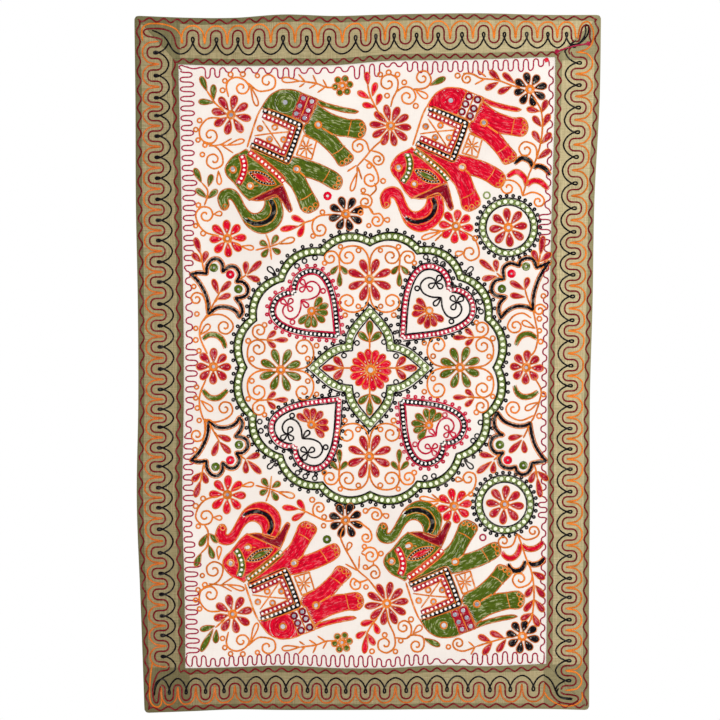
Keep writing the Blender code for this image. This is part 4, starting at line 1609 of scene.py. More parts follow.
HIND_TOP = [(317.2, 103.4), (324, 109), (332.8, 114.2), (343.9, 118.1), (351.7, 119.9), (357, 119.4),
            (361.7, 120.6), (365, 124.8), (365.9, 129.8), (363.9, 135.3), (359.4, 138.2), (352.8, 137.6),
            (346.1, 136.4), (339.4, 135.9), (334.4, 134.4)]
HIND_LOW = [(334.4, 134.4), (338.6, 139.6), (343.9, 146.2), (350, 152.4), (353.3, 156.6), (352.6, 160.2),
            (348.3, 163.9), (341.7, 166.1), (338.3, 164.4), (335.2, 159.4), (330.6, 153.6), (323.9, 146.8),
            (317.2, 141.2), (310.6, 137.4), (305, 133.8)]
HIND = (HIND_TOP, HIND_LOW, [(305, 133.8), (303.4, 129.6), (304.6, 125), (308.1, 122.6)],
        [(308.1, 122.6), (317.2, 103.4)])
HIND_UPPER = (HIND_TOP, [(334.4, 134.4), (326.5, 131), (318.3, 128), (306, 131.5)],
              [(306, 131.5), (303.6, 126), (308.1, 122.6)], [(308.1, 122.6), (317.2, 103.4)])
HIND_LOWER = (HIND_LOW, [(305, 133.8), (303.6, 127.6)], [(303.6, 127.6), (318.3, 125.4), (334.4, 134.4)])
FORE_LEG = [(292.8, 156.8), (300, 158), (310.9, 161.1), (320.4, 164.4), (330, 169), (337, 173),
            (341.6, 178), (342, 184), (338.4, 189.2), (332, 188.4), (321, 182.4), (311, 178.4),
            (304.6, 176.8)]
FRONT_LEG = [(304.6, 176.8), (308.7, 185.2), (313.1, 193.3), (317.6, 200.6), (318.9, 205.4), (316.4, 209.3),
             (309.8, 212.8), (304.8, 212.2), (300.9, 208.6), (298.6, 202.4), (295.3, 194.4), (291.4, 187.2),
             (286.6, 182.2)]
CHEST_TOP = [(251, 145.6), (265, 152.5), (277, 157.6), (288.7, 163.6)]
CHEST_LOW = [(286.6, 182.2), (268, 164.5), (251, 149.8)]
FORE = (CHEST_TOP, [(288.7, 163.6), (292.8, 156.8)], FORE_LEG, FRONT_LEG, CHEST_LOW, [(251, 149.8),
                                                                                      (251, 145.6)])
FORE_UPPER = (FORE_LEG, [(304.6, 176.8), (296.8, 171.6), (288.7, 166)], [(288.7, 166), (292.8, 156.8)])
SHOULDER = (CHEST_TOP, [(288.7, 163.6), (296.8, 168), (305.8, 176)], FRONT_LEG, CHEST_LOW,
            [(251, 149.8), (251, 145.6)])
HEAD = ([(246.2, 149.2), (240.5, 152.6), (234, 155.8), (228.6, 161.4), (225.2, 168.6), (227.2, 175.6),
         (233, 181.6), (237.4, 187), (242.6, 194), (249.4, 200.4)],
        [(249.4, 200.4), (263.7, 193.4), (275.9, 187.2), (283, 184.6)],
        [(283, 184.6), (270, 171), (258, 160.6), (246.2, 149.2)])
EAR = ([(249.8, 199.6), (263.7, 193), (275.9, 187.6), (282.8, 184.8)],
       [(282.8, 184.8), (286.2, 192.6), (289.8, 202.4), (292.2, 209.6), (289.8, 212), (286.8, 209),
        (282.8, 202.2), (278.6, 197.4), (274.9, 197.2), (267.4, 199.4), (258.6, 200.8), (249.8, 199.6)])
TRUNK = ([(281.4, 203), (283.2, 213), (280.8, 222), (274.2, 229.4), (264.7, 233.4), (255, 231.6),
          (246.3, 225), (240, 214.3), (235.2, 205.1), (231.2, 199.6), (228.2, 200), (229, 205),
          (226.8, 209.4), (222.4, 209.6), (219.2, 204.4), (218, 197.4), (221.6, 191), (228.8, 188.6),
          (235.8, 191), (240.6, 197.4), (245.2, 206.4), (250.9, 212.6), (257.2, 213.4), (262.6, 209.4),
          (265, 203.6), (264.7, 198.6)],
         [(264.7, 198.6), (276, 195), (281.4, 203)])
TRUNK_MIDDLE = [(273.4, 201), (274.6, 211), (270.8, 219.4), (262.4, 223.6), (253.4, 221.4), (246.2, 213.4),
                (240.2, 204), (234.4, 196.6), (227.4, 194.6), (223.2, 199.2), (223.6, 205.4)]
TRUNK_STRIPE = [(270.6, 199.8), (273.8, 206.7), (273.4, 213.6), (269.4, 219.8), (262.8, 223),
                (254.6, 223.6), (245.4, 219.6)]
SADDLE_OUTER = ([(263.2, 109.7), (282, 117.4), (300.2, 125.2)], [(300.2, 125.2), (293.8, 143.6),
                                                                 (287, 161.4)],
                [(287, 161.4), (268.4, 152.8), (250.6, 144.9)])
SADDLE_INNER = ([(262.6, 115.2), (278, 121.4), (293.2, 128.5)], [(293.2, 128.5), (288.6, 140.8),
                                                                 (283.4, 153)],
                [(283.4, 153), (268.6, 146), (254.2, 139.8)])
SADDLE_EDGE = [(260.9, 108.6), (257, 117.1), (252.2, 131.4), (247.2, 147.4)]
NECK_BAND = [(248.9, 152), (260.6, 160.3), (270.8, 168.8), (278, 175.2), (284.2, 182)]
HEAD_BAND = [(241.4, 155), (243.9, 162), (244.2, 169.2), (241.6, 177.8), (237.9, 184)]
EYE_PX = np.array([262.1, 178.0])
EYE_LEAN = 0.44
GIRTH = ([(304.2, 135.4), (316.7, 140.8)], [(316.7, 140.8), (311.6, 159.3)],
         [(311.6, 159.3), (296.6, 154.8)],
         [(296.6, 154.8), (304.2, 135.4)])
PARTS = {
    "rump": RUMP, "strap": STRAP, "tail": TAIL, "hind": HIND, "hind_upper": HIND_UPPER,
    "hind_lower": HIND_LOWER, "fore": FORE, "fore_upper": FORE_UPPER, "shoulder": SHOULDER, "head": HEAD,
    "ear": EAR, "trunk": TRUNK, "girth": GIRTH,
}
# The model's mirrors on the legs, the cheek and the head.
HIND_MIRROR = (318.3, 124.8)
FORE_MIRROR = (296.8, 169.2)
CHEEK_MIRROR = (250.4, 186)
HEAD_MIRROR = (233.1, 169.7)
MIRROR_HOLE = 2.4
CREASES = (
    [(351.6, 119.8), (349.6, 128.4), (347.6, 137.6)], [(345.2, 145.4), (338.6, 151.2), (331.4, 155)],
    [(330.2, 169.6), (326.6, 176.4), (322, 183.2)], [(312.8, 192.4), (306.4, 197.4), (299.2, 200.6)],
    [(227, 169.7), (230.6, 169.7)], [(254.2, 186.2), (259, 185.6)],
)
THICK_CREASES = ([(321.4, 127.4), (327, 131), (334.1, 135.5)], [(299.4, 171.8), (305.5, 177)])
NAILS = [
    (361.8, 124.6), (362.4, 129.8), (360.4, 134.8), (350.6, 156.6), (346.6, 160.4), (342.2, 163),
    (339.2, 178.2), (338.4, 183), (335.2, 186.8), (315.6, 205), (310.6, 208.4), (305.2, 209.6),
]
GIRTH_HUB = np.array([306.2, 147.8])
SADDLE_CROSS = ([(262.4, 120.6), (271, 133), (280.8, 147.6)], [(254.4, 135.8), (272, 133.4),
                                                               (290.6, 131.8)])
SADDLE_MIRRORS = [(260.1, 128.4), (274.9, 127.3), (269.6, 139.4), (283.6, 139.6)]
STRAP_MIRRORS = [(303.3, 98.3), (299.9, 105.9), (296.3, 113.6), (311.9, 101.5), (308.1, 110.5),
                 (304.5, 118)]


def almond(half_long, half_wide):
    """The eye's outline: two arcs that meet at points, leaned and put in its place."""
    s = np.linspace(-1, 1, 26)
    upper = np.stack([s * half_long, half_wide * (1 - s**2)], -1)
    both = np.vstack([upper, upper[::-1][1:] * (1, -1)])
    return leaned(both, EYE_LEAN) + EYE_PX


def ringed_mirror(group, colour, centre, radius, mirror_radius=None, width=LINE):
    """A mirror with one round of thread over its rim; a mirror radius is given where the model has none."""
    ring(group, colour, centre, radius, width=width, high=1.6 * MM)
    if mirror_radius:
        mirrors.append((np.asarray(centre, float), mirror_radius))


def elephant_place(elephant):
    """The mapping from the drawn elephant to one of the four: moved, turned over, leaned and shortened."""
    anchor = np.array([elephant.across, elephant.drop]) * CM / PX + ORIGIN_PX

    def at(points):
        p = np.asarray(points, float) - BACK_PX
        leans = elephant.lean * np.maximum(0, p[..., 1] - LEAN_FROM_PX)
        shorter = elephant.shorter * np.maximum(0, p[..., 0] - SHORTER_FROM_PX)
        return anchor + np.stack([p[..., 0] - (leans + shorter), p[..., 1] * elephant.down_scale], -1)
    return at


def fill_elephant(elephant, at, shapes):
    """The body's fillings, in rings on the rump and the head and in rows along the rest, and the ear's."""
    g, body = "elephants", elephant.body
    hind_hole = [circle(at(HIND_MIRROR), MIRROR_HOLE)]
    fore_hole = [circle(at(FORE_MIRROR), MIRROR_HOLE)]
    fill_round(g, body, shapes["rump"], at(BACK_PX), 34, first=3.2)
    for name, guide, reach, holes in (
        ("tail", [(319, 102.4), (335, 107.8), (357, 111.6)], 5, ()),
        ("hind_upper", [(308, 118), (322, 122.4), (342, 128), (362, 130)], 17, hind_hole),
        ("hind_lower", [(306, 128.5), (318, 133.4), (333, 145.4), (345.6, 160)], 14, hind_hole),
        ("fore_upper", [(291, 160.4), (305, 166.4), (322, 174), (338, 182)], 14, fore_hole),
        ("shoulder", [(251, 147.6), (272, 159.4), (292, 172.4), (303, 190), (310, 209)], 22, fore_hole),
    ):
        fill_along(g, body, shapes[name], at(guide), reach, holes)
    holes = [ribbon(at(curve(band)), 4.0) for band in (HEAD_BAND, NECK_BAND)]
    holes.append(at(almond(13.8, 4.5)))
    holes += [circle(at(place), MIRROR_HOLE) for place in (CHEEK_MIRROR, HEAD_MIRROR)]
    lean = 0.5 * elephant.down_scale
    fill_round(g, body, shapes["head"], at((253, 181)), 46, first=1.4, flat=0.66, lean=lean, holes=holes)
    fill_along(g, body, shapes["trunk"], at(TRUNK_MIDDLE), 11, [ribbon(at(curve(TRUNK_STRIPE)), 2.6)])
    ear_top, ear_tip = EAR
    upper = bent(ear_top, [ear_tip[0], (283.4, 191), (280.6, 198.6)], ear_tip[7:])
    lower_part = bent(ear_tip[:8], [ear_tip[7], (279.6, 190), ear_tip[0]])
    fill_along(g, "maroon", at(upper), at([(249, 201), (264, 196.6), (281, 190.6)]), 10)
    fill_along(g, "maroon", at(lower_part), at([(280.6, 187), (285.4, 199), (290.6, 211)]), 9)
    if elephant.strap == "filled":
        fill_along(g, "crimson", shapes["strap"], at([(309.2, 95.8), (299.9, 120.3)]), 10)


def edge_elephant(elephant, at, shapes):
    """The lines round the parts, the creases, the nails and the rays of the girth's square."""
    g = "elephants"
    rim = "amber" if elephant.body == "green" else "orange"
    for name in ("rump", "tail", "hind", "fore", "head", "ear", "trunk", "strap"):
        sew(g, rim, shapes[name], closed=True, width=0.74 * LINE)
    for line in CREASES:
        sew(g, "orange", at(curve(line)), width=0.72 * LINE)
    for line in THICK_CREASES:
        sew(g, "orange", at(curve(line)), width=1.3 * LINE)
    sew(g, "orange", at(curve(SADDLE_EDGE)), width=1.05 * LINE)
    sew(g, "orange", shapes["girth"], closed=True, width=0.95 * LINE)
    for nail in NAILS:
        ring(g, "orange", at(nail), 2.1, width=0.7 * LINE, high=1.25 * MM)
    for angle in np.radians(np.arange(9) * 40 + 8):
        way = facing(angle)
        long = 9.6 if abs(way[0]) < 0.8 else 7.4
        sew(g, "orange", at([GIRTH_HUB + way * 0.8, GIRTH_HUB + way * long]), width=0.95 * LINE)


def dress_elephant(elephant, at):
    """The saddle's and the head's beaded bands, the saddle's cross and its mirrors, and the strap's."""
    g = "elephants"
    outer, inner = at(bent(*SADDLE_OUTER)), at(bent(*SADDLE_INNER))
    beaded_band(g, "black", "white", outer, 4.8, 4.6, rails="black", eye_size=0.68)
    beaded_band(g, "crimson", "white", inner, 4.6, 4.4, rails="crimson", eye_size=0.66)
    for band in (outer, inner):
        for side in (-3.2, 3.2):
            sew(g, "orange", offset(band, side)[4:-4], width=0.55 * LINE)
    for line, size in ((at(curve(NECK_BAND)), 5.0), (at(curve(HEAD_BAND)), 4.8)):
        beaded_band(g, elephant.band, "white", line, size, 4.7, rails=elephant.band, eye_size=0.68)
        for side in (-1, 1):
            sew(g, "orange", offset(line, side * (size / 2 + 1.1)), width=0.6 * LINE)
    for line in SADDLE_CROSS:
        sew(g, "orange", at(curve(line)), width=0.85 * LINE)
    for centre in SADDLE_MIRRORS:
        ringed_mirror(g, "orange", at(centre), 2.4, 3.2 * MM, width=1.15 * LINE)
    for centre in STRAP_MIRRORS:
        if elephant.strap == "filled":
            ringed_mirror(g, "crimson", at(centre), 3.2, 4.6 * MM, width=0.9 * LINE)
        else:
            ringed_mirror(g, "maroon", at(centre), 3.0, 3.9 * MM, width=1.15 * LINE)
    sew(g, "orange", at(curve([(309.2, 96.2), (299.8, 120)])), width=0.8 * LINE)


def finish_elephant(elephant, at):
    """The eye with its beaded lid, the trunk's stripe and the rings of thread round the model's mirrors."""
    g = "elephants"
    lid = at(almond(13.4, 4.2))
    sew(g, "orange", at(almond(15.8, 5.8)), closed=True, width=0.7 * LINE)
    sew(g, "black", lid, closed=True, width=3.2 * PX, high=1.7 * BASE_HIGH)
    for place, way in zip(*evenly(lid, 2.9)):
        domes[g, "white"].append((place, way, 0.5, 0.7))
    fill_along(g, elephant.eye, at(almond(11.2, 2.7)), at([(250, 172.6), (273, 183.2)]), 4)
    sew(g, "orange", at(almond(11.6, 2.9)), closed=True, width=0.45 * LINE)
    stripe = at(curve(TRUNK_STRIPE))
    wide = np.interp(np.linspace(0, 1, len(stripe)), [0, 0.25, 0.8, 1], [4.4, 5.6, 4.8, 2.6]) * PX
    sew(g, "black", stripe, width=wide, high=1.25 * MM)
    for side in (-2.9, 2.9):
        sew(g, "orange", offset(stripe, side), width=0.6 * LINE)
    for centre in (HIND_MIRROR, FORE_MIRROR, HEAD_MIRROR, CHEEK_MIRROR):
        radius = 3.0 if centre == CHEEK_MIRROR else 3.1
        ringed_mirror(g, "orange", at(centre), radius, width=1.2 * LINE)
    rump_ring = "orange" if elephant.down_scale < 0 else elephant.body
    ring(g, rump_ring, at(BACK_PX), 3.2, width=LINE, high=1.5 * MM)
    ring(g, "orange", at((225.2, 206.3)), 2.2, width=0.75 * LINE)


def sew_elephant(elephant):
    """One of the four elephants: fillings first, then edges, bands and what lies on top."""
    at = elephant_place(elephant)
    shapes = {name: at(bent(*parts)) for name, parts in PARTS.items()}
    fill_elephant(elephant, at, shapes)
    edge_elephant(elephant, at, shapes)
    dress_elephant(elephant, at)
    finish_elephant(elephant, at)


# Scrolls, sprigs, vines and tulips

def stems(at, lines, width=LINE):
    """Smooth single lines."""
    for line in lines:
        sew("scrolls", "orange", at(curve(line)), width=width)


def coils(at, rows):
    """Scrolls, each given by its stem, the spiral's centre and its turns."""
    for stem, centre, turns in rows:
        sew("scrolls", "orange", at(coil(stem, centre, turns)))


def rounds(at, places):
    """Small open rings beside the scrolls."""
    for place in places:
        ring("scrolls", "orange", at(place), 2.2 * rng.uniform(0.9, 1.1), width=0.9 * LINE)


def loops(at, rows, width=4.6):
    """Open teardrops, each given by its base and tip."""
    for base, tip in rows:
        sew("scrolls", "orange", at(loop_drop(base, tip, width)), width=0.9 * LINE)


def leaves(at, fill, rows, width=6.6):
    """Leaves, each given by its base and tip."""
    for base, tip in rows:
        leaf("leaves", fill, at(base), at(tip), width)


def crescent(colour, line):
    """A fat curved stroke with an edge line on both sides."""
    path = curve(line)
    share = np.linspace(0, 1, len(path))
    wide = 4.3 * np.sqrt(np.clip(np.sin(np.pi * (0.08 + 0.84 * share)), 0, 1))
    sew("leaves", colour, path, width=wide * PX * 1.05, high=1.1 * FILL_HIGH)
    for side in (-0.5, 0.5):
        sew("leaves", "orange", offset(path, side * (wide + 1.0)), width=0.6 * LINE)


def sew_left_scrolls(at):
    """What lies round the left elephant, drawn above and repeated below."""
    coils(at, [
        ([(228.5, 97), (226.4, 86), (229.8, 79.6), (237.1, 77.3), (244.8, 80.4), (249.1, 87.2)],
         (241.6, 87.6), 1.15),
        ([(247.9, 82.7), (257, 90.3), (264.7, 91.1)], (267.4, 81.4), 1.35),
        ([(220.3, 117.9), (208.1, 118.6), (200.4, 127), (199.8, 136), (204, 141.5)], (210.3, 135.4), 1.3),
        ([(203, 142.5), (215.7, 146.9), (221.8, 154.6), (222.4, 164.5)], (213.8, 160), 1.35),
        ([(219, 236), (206.5, 232.7), (198.9, 225), (195.8, 214.5)], (205.6, 215.2), 1.45),
    ])
    rounds(at, [(230.6, 74.5), (242.8, 74.2), (224.9, 80.8), (222.6, 90.3), (257.4, 75.8), (199.6, 120.5),
                (195.8, 129.6), (198.1, 140), (205, 145.1), (202.4, 154.6), (198.4, 205.1), (195.8, 225.8),
                (203.2, 233.4)])
    loops(at, [((250.5, 86), (257.4, 106)), ((218.4, 170.7), (219.5, 184.5)),
               ((227, 145.4), (244.3, 140.3)), ((213.5, 214.3), (221.9, 213.4)),
               ((241, 246.2), (253.7, 248.4))])
    stems(at, [[(208.8, 146.2), (220.3, 144.6), (231.8, 138.5)], [(221.8, 145.4), (233.3, 153.1)],
               [(220, 145), (227, 145.4)], [(234, 243), (241, 246.2)]], width=0.9 * LINE)


def sew_branch(at):
    """The twig that runs left from the flower of dots."""
    stems(at, [
        [(336, 87.6), (325.9, 87.2), (316, 83.4), (299.9, 81.1)], [(306, 82.7), (298.4, 74.2)],
        [(316.7, 83.4), (312.9, 75)], [(326.7, 86.5), (322.9, 79.6)], [(304.5, 83.4), (299.1, 87.2)],
        [(316, 84.2), (309.1, 88.5)], [(325.2, 87.2), (317.5, 92.6)],
    ])
    loops(at, [((300, 81.2), (281.9, 79.6))], width=5.2)


def sew_left_leaves():
    """The sprigs of green leaves down the left side and those of red ones beside the black flowers."""
    leaves(same, "green", [
        ((207, 91), (200.8, 76.3)), ((213.5, 100), (213.4, 84.5)), ((214, 102.5), (198.5, 101.5)),
        ((201.5, 182.5), (194.5, 168.3)), ((208.5, 186.5), (211.8, 174.5)), ((207, 198), (196, 189)),
        ((208, 198.4), (217.4, 189.8)), ((207.3, 534), (199.8, 546)), ((209.6, 533.4), (218, 542.3)),
        ((208.8, 545), (213.4, 558.4)), ((201.2, 552.9), (195.4, 566.4)), ((214.6, 626), (200.2, 629.8)),
        ((213.2, 629), (201, 651.4)), ((216.5, 629.7), (215.6, 643)),
    ])
    stems(same, [
        [(224, 110.6), (215.7, 103.6), (209.6, 94.9), (206.6, 90.3)], [(214, 102.5), (215.7, 104)],
        [(202, 182.8), (207.5, 190), (207, 198), (204.4, 205.4)], [(208, 198.4), (207, 198)],
        [(204.6, 525), (208.1, 531.7), (207.3, 545.5), (201.2, 553)], [(208.8, 545), (207.6, 540)],
        [(225, 619), (215.4, 627.6)],
    ])
    leaves(same, "red", [
        ((305, 222.3), (291.6, 216.4)), ((298.6, 226.3), (280.4, 229.8)), ((304.3, 224.5), (298.6, 236.8)),
        ((298.8, 509), (282.4, 507.2)), ((305, 510), (297.8, 500)), ((304.8, 512.6), (292, 520)),
    ])
    stems(same, [
        [(298.6, 226.3), (306, 222.2), (312.2, 220.2), (320, 215.8), (333, 214.4)],
        [(298.8, 509), (306, 511.8), (316, 516.6), (325.9, 520.8), (334, 520.8)],
    ])
    coils(same, [
        ([(318, 216.6), (313.6, 220.4), (312.2, 228)], (320.2, 229.2), 1.4),
        ([(318.6, 517.6), (314.2, 515), (312.9, 508.8)], (319.4, 508.2), 1.35),
    ])
    rounds(same, [(322.4, 212.2), (313, 236), (312.2, 499.8), (324.2, 517), (323.6, 525.8)])


def sew_top_middle():
    """Between the elephants above: the twigs and scrolls from the middle flower down, and those above it."""
    stems(same, [
        [(384.8, 137.6), (372.8, 148.3), (365, 157.6), (357, 166.4)], [(356.5, 165.3), (347.2, 171.6)],
        [(357, 166.4), (357.3, 173)], [(358, 167), (361.9, 179.4)],
        [(374.6, 183), (376, 189.6), (370, 196)], [(355.8, 208), (361.8, 205.6), (368.6, 207.4),
                                                   (373.2, 212.6)],
    ])
    loops(same, [((357.3, 172), (351.3, 191)), ((383, 219.6), (389.6, 220))])
    coils(same, [
        ([(369.4, 151.4), (366, 142), (359.6, 139.2)], (358.8, 146.8), 1.3),
        ([(371, 150.6), (379.1, 152.8), (383.9, 157.8)], (377.8, 159.6), 1.35),
        ([(364.8, 159.4), (372, 164.2), (377.2, 173)], (370.4, 179), 1.5),
        ([(360.8, 193.8), (368.8, 195.2), (372, 201)], (365.4, 202), 1.4),
        ([(368.4, 205.6), (373, 213.6), (379.6, 213.6)], (376.8, 220.4), 1.45),
    ])
    rounds(same, [(369.2, 165.9), (383.1, 181), (363.2, 190.5), (368.8, 225.6), (360.6, 212.6)])
    coils(same, [
        ([(390.8, 107), (392.7, 98.9), (397.3, 89.3)], (388.2, 83.2), 1.45),
        ([(395.6, 92.4), (404.6, 86.9), (412.6, 89.3)], (407.4, 97), 1.35),
        ([(412.6, 89.3), (423.8, 88.5), (429.4, 84.5), (431, 78.5)], (422.6, 78), 1.35),
    ])
    rounds(same, [(380.2, 74.5), (388.7, 72.5), (397.5, 74.5), (387.1, 95.7), (404.3, 82.4), (415.8, 106)])
    loops(same, [((415, 89.5), (427.4, 97.8))], width=5.6)
    leaves(same, "green", [((430, 85.5), (445.4, 77.6))])
    leaves(same, "red", [((368, 85), (366.7, 72)), ((372.4, 95.9), (376, 82.6)),
                         ((369.6, 98.6), (357.6, 91.6)), ((376.7, 105), (380.6, 94)),
                         ((375.2, 107), (362.4, 104.4))])
    stems(same, [[(367.6, 84), (369.6, 94.1), (374.3, 104.4), (379.1, 113.2), (384.6, 119)]])


def sew_bottom_middle():
    """Between the elephants below: the same kinds of twigs and scrolls, at places of their own."""
    stems(same, [
        [(343.6, 527.6), (340.5, 536.3), (344.3, 547), (350.4, 557.8), (358.1, 570.4), (368.8, 580),
         (381, 596)],
        [(345.4, 564), (358.1, 570.8)], [(359.5, 556), (358.8, 569)], [(347, 552), (347.6, 548)],
        [(355.6, 522), (362, 524), (369.2, 529.6)], [(373.4, 562), (373.6, 566)],
        [(366, 556), (361.2, 553)],
    ])
    loops(same, [((346.8, 551.6), (350.6, 542.6)), ((382, 514), (388.6, 516.8))])
    coils(same, [
        ([(366.4, 512.4), (371.6, 507.8), (379.1, 509.3)], (376, 515), 1.4),
        ([(362, 524), (369.6, 530), (371.8, 537.4)], (366.2, 537.4), 1.3),
        ([(361.6, 552.3), (368, 547.6), (375.1, 549.1)], (370.8, 555.6), 1.4),
        ([(366.4, 569.9), (374.3, 565.1), (379.4, 570.6)], (374.6, 573.8), 1.25),
        ([(368.8, 579.2), (360, 582), (353, 578.6)], (356.4, 584.4), 1.35),
    ])
    rounds(same, [(365.6, 510.9), (364.4, 546.6), (380.9, 553.6), (365.4, 567.2), (366, 587)])
    coils(same, [
        ([(386.3, 610), (388.7, 622.5), (394.3, 635.2), (394.6, 646.4)], (385, 644), 1.4),
        ([(395.1, 637.6), (406.2, 638.4), (411, 633.6), (410.6, 625)], (403.6, 627.2), 1.35),
        ([(406.2, 638.4), (412, 635), (422.2, 636.8), (424, 645)], (416.4, 645.4), 1.35),
    ])
    rounds(same, [(384.7, 634.9), (372, 651.2), (395.4, 651.4), (411, 619.3), (400.7, 640.6)])
    loops(same, [((412.6, 634), (421.6, 625.8))], width=5.6)
    leaves(same, "green", [((423.6, 638.2), (440, 645.8))])
    leaves(same, "red", [((374.3, 620.8), (360.8, 624.3)), ((374, 622.5), (378.7, 633.6)),
                         ((366, 631.2), (356, 637.6)), ((366.3, 635.2), (364.3, 653.4)),
                         ((367.4, 633.6), (374.6, 645))])
    stems(same, [[(377.6, 617.7), (371.2, 625.7), (366.2, 634.6)]])


def sew_right_branches():
    """The leafy branches and vines of the right side, above and below."""
    stems(same, [
        [(520, 87.6), (513, 86), (497, 80.2), (481, 78.4), (472, 74.2), (463, 73.6)],
        [(477.2, 70.1), (486, 77)], [(474.8, 84.5), (485.2, 78.9)],
        [(533, 97), (540.2, 108.4), (542.4, 121.2), (541.8, 135.5), (539.4, 148.3), (535.4, 161),
         (529.8, 172.2), (525.8, 185), (522.6, 196)],
        [(512, 636.8), (503.5, 638.4), (490.7, 641.9), (476.4, 646.4)], [(474, 646.4), (468.4, 641.6)],
        [(475, 647), (470.8, 654.4)],
        [(517, 533), (521, 542.8), (525.8, 557.1), (531.4, 571.5), (533.8, 585.8), (533.8, 603.4),
         (531.4, 618), (526.6, 627)],
    ])
    leaves(same, "crimson", [
        ((500.3, 80.8), (489.6, 70.6)), ((498.4, 82.4), (485.2, 89.4)), ((514.3, 83.4), (502.8, 73.2)),
        ((511.5, 86.6), (497.8, 93.2)), ((539.6, 111.4), (526.6, 108.8)), ((541.8, 112.4), (546.8, 100)),
        ((541, 126.6), (533.2, 116.2)), ((543, 126.6), (549.4, 114)), ((540.5, 143.4), (532.8, 131)),
        ((541.8, 143.6), (551, 133)), ((537.8, 158.8), (550.2, 149.6)),
        ((504.3, 638.2), (490, 632)), ((505.9, 639.5), (497, 652)), ((490.7, 641.6), (478.2, 635.6)),
        ((492, 642.6), (483, 654.4)), ((532.8, 572), (544.8, 579)), ((535.4, 585.6), (544.2, 597)),
        ((533.4, 585.6), (525.6, 597)), ((535.1, 600), (543.8, 611.8)), ((533.4, 600), (524.4, 611.2)),
        ((531.8, 613.4), (520.8, 619.8)), ((532.6, 613.8), (538.8, 626.4)),
    ], width=6.8)
    coils(same, [
        ([(481, 79), (473, 74.2), (466, 73.6)], (467, 79), 1.3),
        ([(536.5, 158), (536.5, 149.6), (533, 144.2)], (526, 150), 1.4),
        ([(522.6, 196), (520, 186.6), (513.1, 180.8)], (508, 187.8), 1.4),
        ([(522.6, 196), (532.2, 192.3), (540.5, 195)], (538.3, 201.4), 1.3),
        ([(463, 231.4), (472.5, 236.8), (478, 246.2)], (470.3, 252.6), 1.4),
        ([(476.4, 646.4), (463.6, 651), (455, 648.6)], (458.6, 643.4), 1.35),
        ([(532.5, 574), (531.5, 580.6), (527, 585.4)], (520, 579.2), 1.4),
        ([(517, 533), (513.1, 544.4), (506, 547.6)], (503.8, 541.4), 1.3),
        ([(517.5, 534), (525.8, 539.6), (535.4, 537.6)], (533.4, 531.4), 1.35),
        ([(461.6, 498.4), (471.6, 491.7), (475.8, 482.2)], (468.6, 478.6), 1.4),
        ([(547.6, 309.4), (541.6, 304.6)], (539.6, 310.2), 1.3),
    ])
    rounds(same, [(457.6, 75.7), (475.1, 238.3), (448.4, 646.8), (470.8, 494.1)])
    loops(same, [((441, 231.5), (421.6, 238.6)), ((465, 252.2), (455.4, 254.2)),
                 ((439.7, 501.3), (419.6, 498)), ((463, 480.4), (455.6, 479))], width=4.8)
    stems(same, [[(446, 230), (441, 231.5)], [(430.2, 229.5), (442, 231)], [(434.9, 241), (443.4, 232.8)],
                 [(446, 503), (439.7, 501.3)], [(431.8, 494.1), (440, 500.8)],
                 [(430.2, 507.2), (438.6, 502.8)]])
    for colour, line in [
        ("black", [(532.6, 168.6), (529.8, 161.4), (521.6, 158.2), (514, 164)]),
        ("black", [(533.6, 168.8), (537.4, 166), (544.6, 168.4), (550.4, 175.4)]),
        ("red", [(526.4, 186), (524.6, 178), (516.4, 171.8), (506.8, 176.8)]),
        ("red", [(527, 186), (532.2, 181.2), (540.2, 181.8), (548.7, 189.6)]),
        ("black", [(508.2, 563.4), (510.4, 568.4), (514.6, 571), (519.8, 570.4), (523.4, 566.8),
                   (525.6, 560.6)]),
        ("black", [(527.4, 561.6), (531.4, 564.4), (536.6, 564.4), (541.4, 561.8), (545.2, 556.8)]),
        ("red", [(501.8, 551.6), (504.8, 556.2), (509.8, 558.4), (515, 556.8), (518.6, 551.8),
                 (520.6, 543.6)]),
        ("red", [(522, 544.4), (526, 548.2), (531.6, 549.2), (537.6, 547.2), (543.6, 541.4)]),
    ]:
        crescent(colour, line)


# The tulips' outlines, of smooth stretches that meet at corners.
LEFT_TULIP = (
    [(208.6, 313.6), (207.6, 300.4), (203.4, 289.6), (198, 281), (191.4, 274.4)],
    [(191.4, 274.4), (198.6, 272.8), (206.3, 273.6)],
    [(206.3, 273.6), (207.4, 265.6), (212, 259.8), (218.2, 259.2), (222.4, 264.4), (222.8, 271.6)],
    [(222.8, 271.6), (229.5, 266.6), (235.8, 267.6), (239.6, 274.6), (236.6, 281.6)],
    [(236.6, 281.6), (243, 282.2), (247.8, 288), (246.8, 294.4), (241.8, 297.4), (235.6, 298.2)],
    [(235.6, 298.2), (240.6, 304.8), (242.4, 311.8), (239.4, 317)],
    [(239.4, 317), (236, 311.4), (228, 307.4), (217.3, 307.6), (208.6, 313.6)],
)
RIGHT_TULIP = (
    [(532.6, 309.6), (533.4, 296.6), (537, 283.2), (543, 271), (549.4, 261.8)],
    [(549.4, 261.8), (543.6, 265), (536.6, 267.4)],
    [(536.6, 267.4), (533, 259.6), (526.8, 258), (520.8, 260.8), (519, 265.6)],
    [(519, 265.6), (510, 263.4), (503.4, 268.4), (503.8, 278.6)],
    [(503.8, 278.6), (495.6, 280.8), (491.6, 288.4), (495, 295), (505.6, 297)],
    [(505.6, 297), (500, 303.4), (498.6, 311), (500.9, 317.8)],
    [(500.9, 317.8), (507, 311), (516.6, 306.4), (527, 307), (532.6, 309.6)],
)
